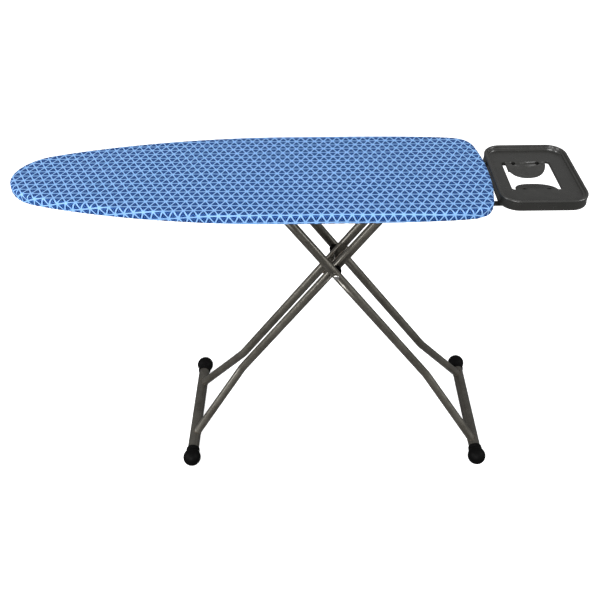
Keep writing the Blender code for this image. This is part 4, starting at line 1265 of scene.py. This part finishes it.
def push_nut(name, side, place, body, node):
    """A domed push nut with spring teeth, pressed on a rod's end just outside a rail."""
    start = RAIL_Y + RAIL_STEEL / 2 + GAP
    sides = 36
    outline = [(0.0085, start), (0.0085, start + 0.0008), (0.0072, start + 0.0012)]
    outline += [(0.0060, start + 0.0034), (0.0046, start + 0.0036), (0.0046, start + 0.0030)]
    outline += [(0.0055, start + 0.0028), (0.0066, start)]
    points, faces = turned(outline, sides, side, loop=True)
    moved = []
    for number, (x, y, z) in enumerate(points):
        radius = math.hypot(x, z)
        notch = 0.0007 if radius < 0.0050 and (number % sides) % 9 < 2 else 0.0
        scale = (radius + notch) / radius
        moved.append((x * scale, y, z * scale))
    nut = piece(name, moved, faces, "steel", 30, place)
    return stands_for(nut, body, "zinc_steel", node)


def plain_rod(name, reach, at, body, node):
    """A bright rod across the board with eased ends."""
    rod = bar_between(name, (0, -reach, 0), (0, reach, 0), ROD_RADIUS, "rod", 32)
    rod.data.transform(at)
    return stands_for(rod, body, "zinc_steel", node)


def cross_rod(reach, at):
    """The rod where the legs cross, with a domed head at each end."""
    head = 0.008
    profile = [(0, reach + 0.0036)]
    for step in range(1, 9):
        angle = math.pi / 2 * step / 8
        profile.append((head * math.sin(angle), reach + 0.0010 + 0.0026 * math.cos(angle)))
    profile += [(head, reach), (ROD_RADIUS, reach)]
    profile += [(r, -h) for r, h in reversed(profile)]
    rod = piece("crossing_rivet", *turned(profile, 40), "rod", 35, at)
    return stands_for(rod, "outer_leg", "zinc_steel", "cross_pivot_rod")


def cross_bridge(at):
    """The pressed channel welded between the twin inner tubes at the crossing."""
    half = INNER_Y - TUBE_RADIUS - GAP
    deep = 0.011
    wall = 0.0015
    outline = [(-half, -deep), (-half, deep), (half, deep), (half, -deep)]
    outline += [(half - wall, -deep), (half - wall, deep - wall)]
    outline += [(wall - half, deep - wall), (wall - half, -deep)]
    outline = rounded(outline, 0.0022, 4)
    rings = [[(x, y, z) for y, z in outline] for x in (-BRIDGE_HALF_LENGTH, BRIDGE_HALF_LENGTH)]
    points, faces = shell(rings)
    count = len(outline)
    faces += [tuple(range(count)), tuple(range(2 * count - 1, count - 1, -1))]
    bridge = piece("crossing_bridge", points, faces, "paint", 35, Matrix.Translation((LINK, 0, 0)))
    hole = bar_between("bridge_hole", (LINK, -0.03, 0), (LINK, 0.03, 0), ROD_HOLE_RADIUS, "paint", 24)
    carved(bridge, [hole])
    bridge.data.transform(at)
    stands_for(bridge, "inner_leg", "dark_paint", "cross_bridge")
    lines = []
    for y in (-half, half):
        for z in (-deep, deep):
            ends = (LINK - BRIDGE_WELD_HALF_LENGTH, LINK + BRIDGE_WELD_HALF_LENGTH)
            lines.append([at @ Vector((x, y, z * 0.93)) for x in ends])
    return lines


def weld_seams(kind, loops, lines, tree):
    """The weld ripples of one pair of legs, round each joint and along the bridge."""
    points, edges = [], []
    for loop in loops:
        first = len(points)
        points += loop
        edges += [(first + i, first + (i + 1) % len(loop)) for i in range(len(loop))]
    for start, end in lines:
        first = len(points)
        points += [start + (end - start) * (i / 20) for i in range(21)]
        edges += [(first + i, first + i + 1) for i in range(20)]
    values = {"Pitch": 0.0021, "Bead Length": 0.0040, "Bead Width": 0.0040, "Bead Height": 0.0036}
    values.update({"Unevenness": 0.16, "Seed": 11})
    seams = grown(f"{kind}_weld_seams", tree, points, edges, [], values, "weld", 60)
    return stands_for(seams, f"{kind}_leg", "dark_paint")


def leg_pair(kind, y, top, at):
    """Both tubes of one pair with their foot bar, feet and plugs; gives the welded joints' lines."""
    foot = top + LINK + LOWER_LEG
    joints = []
    for name, side in ENDS.items():
        joints.append(leg_tube(kind, name, side, y, top, at))
        tube_plug(kind, name, side, y, top, at)
        foot_cap(kind, name, side, foot, at)
    foot_bar(kind, foot, at)
    return joints


def legs():
    """Both pairs of legs with their rods, sleeves, spacers and welds."""
    inner_at = leg_frame(HINGE_X, TOP_AXLE_Z, math.pi - LEG_ANGLE)
    outer_at = leg_frame(CROSS_X, CROSS_Z, LEG_ANGLE)
    axle_at = outer_at @ Matrix.Translation((-LINK, 0, 0))
    hinge_at = Matrix.Translation((HINGE_X, 0, TOP_AXLE_Z))
    welds = bead_tree("weld_ripple", "weld", 10, 6)
    joints = leg_pair("inner", INNER_Y, 0.0, inner_at)
    weld_seams("inner", joints, cross_bridge(inner_at), welds)
    joints = leg_pair("outer", OUTER_Y, -LINK, outer_at)
    weld_seams("outer", joints, [], welds)
    rail = RAIL_Y - RAIL_STEEL / 2 - GAP
    reach = RAIL_Y + 0.006
    between = INNER_Y - TUBE_RADIUS - GAP
    inner_side = INNER_Y + TUBE_RADIUS + GAP
    outer_side = OUTER_Y + TUBE_RADIUS + GAP
    outer_inside = OUTER_Y - TUBE_RADIUS - GAP
    sleeve = ("black", "inner_leg", "black_plastic")
    spacer = ("black", "outer_leg", "black_plastic")
    middle = (ROD_HOLE_RADIUS, SLEEVE_RADIUS, -between, between, 1, inner_at, *sleeve)
    ring_piece("sleeve_middle", *middle, "hinge_sleeve_middle")
    plain_rod("hanging_rod", reach, hinge_at, "board", "hinge_rod")
    plain_rod("sliding_axle", reach, axle_at, "outer_leg", "slide_axle")
    cross_rod(outer_side, outer_at)
    for name, side in ENDS.items():
        size = (ROD_HOLE_RADIUS, SLEEVE_RADIUS, inner_side, rail, side, inner_at)
        ring_piece(f"sleeve_{name}", *size, *sleeve, f"hinge_sleeve_{name}")
        size = (ROD_HOLE_RADIUS, WASHER_RADIUS, outer_side, rail, side, axle_at)
        ring_piece(f"washer_{name}", *size, *spacer, f"slide_washer_{name}")
        size = (ROD_HOLE_RADIUS, SPACER_RADIUS, inner_side, outer_inside, side, outer_at)
        ring_piece(f"spacer_{name}", *size, *spacer, f"cross_spacer_{name}")
        push_nut(f"hanging_rod_nut_{name}", side, hinge_at, "board", f"hinge_nut_{name}")
        push_nut(f"sliding_axle_nut_{name}", side, axle_at, "outer_leg", f"slide_nut_{name}")


# ---------------------------------------------------------------- height rack


def rack_fittings():
    """The rack's grip with its finger ribs, its rod, and the spring beside its bracket."""
    low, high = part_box("release_rod")
    x = (low.x + high.x) / 2
    z = (low.z + high.z) / 2
    rod = bar_between("rack_rod", (x, low.y, z), (x, high.y, z), 0.0035, "rod", 28)
    stands_for(rod, "height_rack", "zinc_steel", "release_rod")
    profile = [(0.0090, -0.044), (0.0104, -0.0455), (0.0105, -0.049), (0.0094, -0.054), (0.0086, -0.062)]
    for rib in range(7):
        y = -0.066 - rib * 0.0055
        profile += [(0.0084, y), (0.0092, y - 0.0014), (0.0092, y - 0.0024), (0.0084, y - 0.0038)]
    profile += [(0.0086, -0.106), (0.0096, -0.114), (0.0105, -0.119), (0.0104, -0.122), (0.0090, -0.126)]
    profile += [(0.0050, -0.1265), (0.0038, -0.126), (0.0038, -0.044)]
    place = Matrix.Translation((x, 0, z))
    grip = piece("rack_grip", *turned(profile, 36, loop=True), "black", 40, place)
    stands_for(grip, "height_rack", "black_plastic", "release_grip")
    path = [(0.016, 0.0089, 0.0150), (0.009, 0.0095, 0.0105)]
    for step in range(73):
        angle = math.radians(70) - 2 * math.pi * step / 24
        along = 0.0105 + COIL_PITCH * step / 24
        path.append((COIL_RADIUS * math.cos(angle), along, COIL_RADIUS * math.sin(angle)))
    path += [(0.010, 0.0153, 0.0062), (0.026, 0.0153, 0.0060)]
    at = Vector(RACK_PIN)
    spring = swept("rack_return_spring", [at + Vector(p) for p in path], SPRING_WIRE, "rod")
    stands_for(spring, "board", "zinc_steel", "rack_spring")


def carried_over():
    """Gives the pressed-steel parts that keep their own shape their finishes."""
    finishes = {
        "rim_frame": "steel",
        "cross_strip_nose": "steel",
        "cross_strip_middle": "steel",
        "cross_strip_tail": "steel",
        "slide_rail_front": "paint",
        "slide_rail_rear": "paint",
        "rack_bracket": "steel",
        "rack_pin": "rod",
        "height_rack": "steel",
        # The arms' darker copy of the leg paint is painted shade.
        "iron_rest_arm_front": "arm_paint_shaded",
        "iron_rest_arm_rear": "arm_paint_shaded",
    }
    for node, finish in finishes.items():
        for slot in NODES[node].material_slots:
            slot.material = FINISH[finish]


# ---------------------------------------------------------------- studio


def soft_light(name, place, target, size, power):
    """A large soft area light aimed at a point."""
    data = bpy.data.lights.new(name, "AREA")
    data.shape = "RECTANGLE"
    data.size, data.size_y = size
    data.energy = power
    lamp = bpy.data.objects.new(name, data)
    lamp.location = place
    lamp.rotation_euler = (Vector(target) - Vector(place)).to_track_quat("-Z", "Y").to_euler()
    bpy.context.scene.collection.objects.link(lamp)


def studio_floor():
    """A wide pale floor that no piece mirrors or takes light from."""
    reach = FLOOR_REACH
    corners = [(-reach, -reach), (reach, -reach), (reach, reach), (-reach, reach)]
    mesh = bpy.data.meshes.new("floor")
    mesh.from_pydata([(x, y, -0.0005) for x, y in corners], [], [(0, 1, 2, 3)])
    mesh.materials.append(FINISH["floor"])
    floor = bpy.data.objects.new("floor", mesh)
    bpy.context.scene.collection.objects.link(floor)
    floor.visible_diffuse = False
    floor.visible_glossy = False


def studio_sky():
    """A grey surround, darker below and behind, that the camera sees as plain white."""
    world = bpy.data.worlds.new("studio")
    world.use_nodes = True
    tree = world.node_tree
    coordinates = tree.nodes.new("ShaderNodeTexCoord")
    way = add(tree, "ShaderNodeSeparateXYZ", None, {0: coordinates.outputs["Generated"]})
    above = step_up(tree, way.outputs["Z"], -0.25, 0.35)
    sky = blend_colours(tree, above, (0.20, 0.20, 0.20), (0.58, 0.58, 0.58))
    behind = sums(tree, "MULTIPLY", step_up(tree, way.outputs["Y"], 0.15, 0.75), 0.45)
    sky = blend_colours(tree, behind, sky, (0.10, 0.10, 0.10))
    seen = tree.nodes.new("ShaderNodeLightPath").outputs["Is Camera Ray"]
    sky = blend_colours(tree, seen, sky, (1.0, 1.0, 1.0))
    feed(tree, tree.nodes["Background"].inputs["Color"], sky)
    bpy.context.scene.world = world


def studio_camera():
    """The camera in front of the board, looking down on it."""
    camera = bpy.data.cameras.new("camera")
    camera.sensor_width = CAMERA_SENSOR
    camera.lens = CAMERA_LENS
    view = bpy.data.objects.new("camera", camera)
    bpy.context.scene.collection.objects.link(view)
    heading = Vector((math.sin(CAMERA_YAW), math.cos(CAMERA_YAW), 0))
    ahead = heading * math.cos(CAMERA_PITCH) - Vector((0, 0, math.sin(CAMERA_PITCH)))
    right = Vector((heading.y, -heading.x, 0))
    up = right.cross(ahead)
    side = right * math.cos(CAMERA_ROLL) + up * math.sin(CAMERA_ROLL)
    top = up * math.cos(CAMERA_ROLL) - right * math.sin(CAMERA_ROLL)
    turn = Matrix((side, top, -ahead)).transposed().to_4x4()
    view.matrix_world = Matrix.Translation(CAMERA_PLACE) @ turn
    bpy.context.scene.camera = view


def studio():
    """The floor, the sky, the soft lights and the camera."""
    bpy.context.scene.view_settings.view_transform = "Standard"
    studio_floor()
    studio_sky()
    for name, (place, target, size, power) in LIGHTS.items():
        soft_light(name, place, target, size, power)
    studio_camera()


cover, flat_size, flat_area, hem_line = ironing_cover()
stitches = hem_stitches(hem_line)
pad()
steam_mesh()
iron_rest()
tray_screws()
legs()
rack_fittings()
carried_over()
studio()
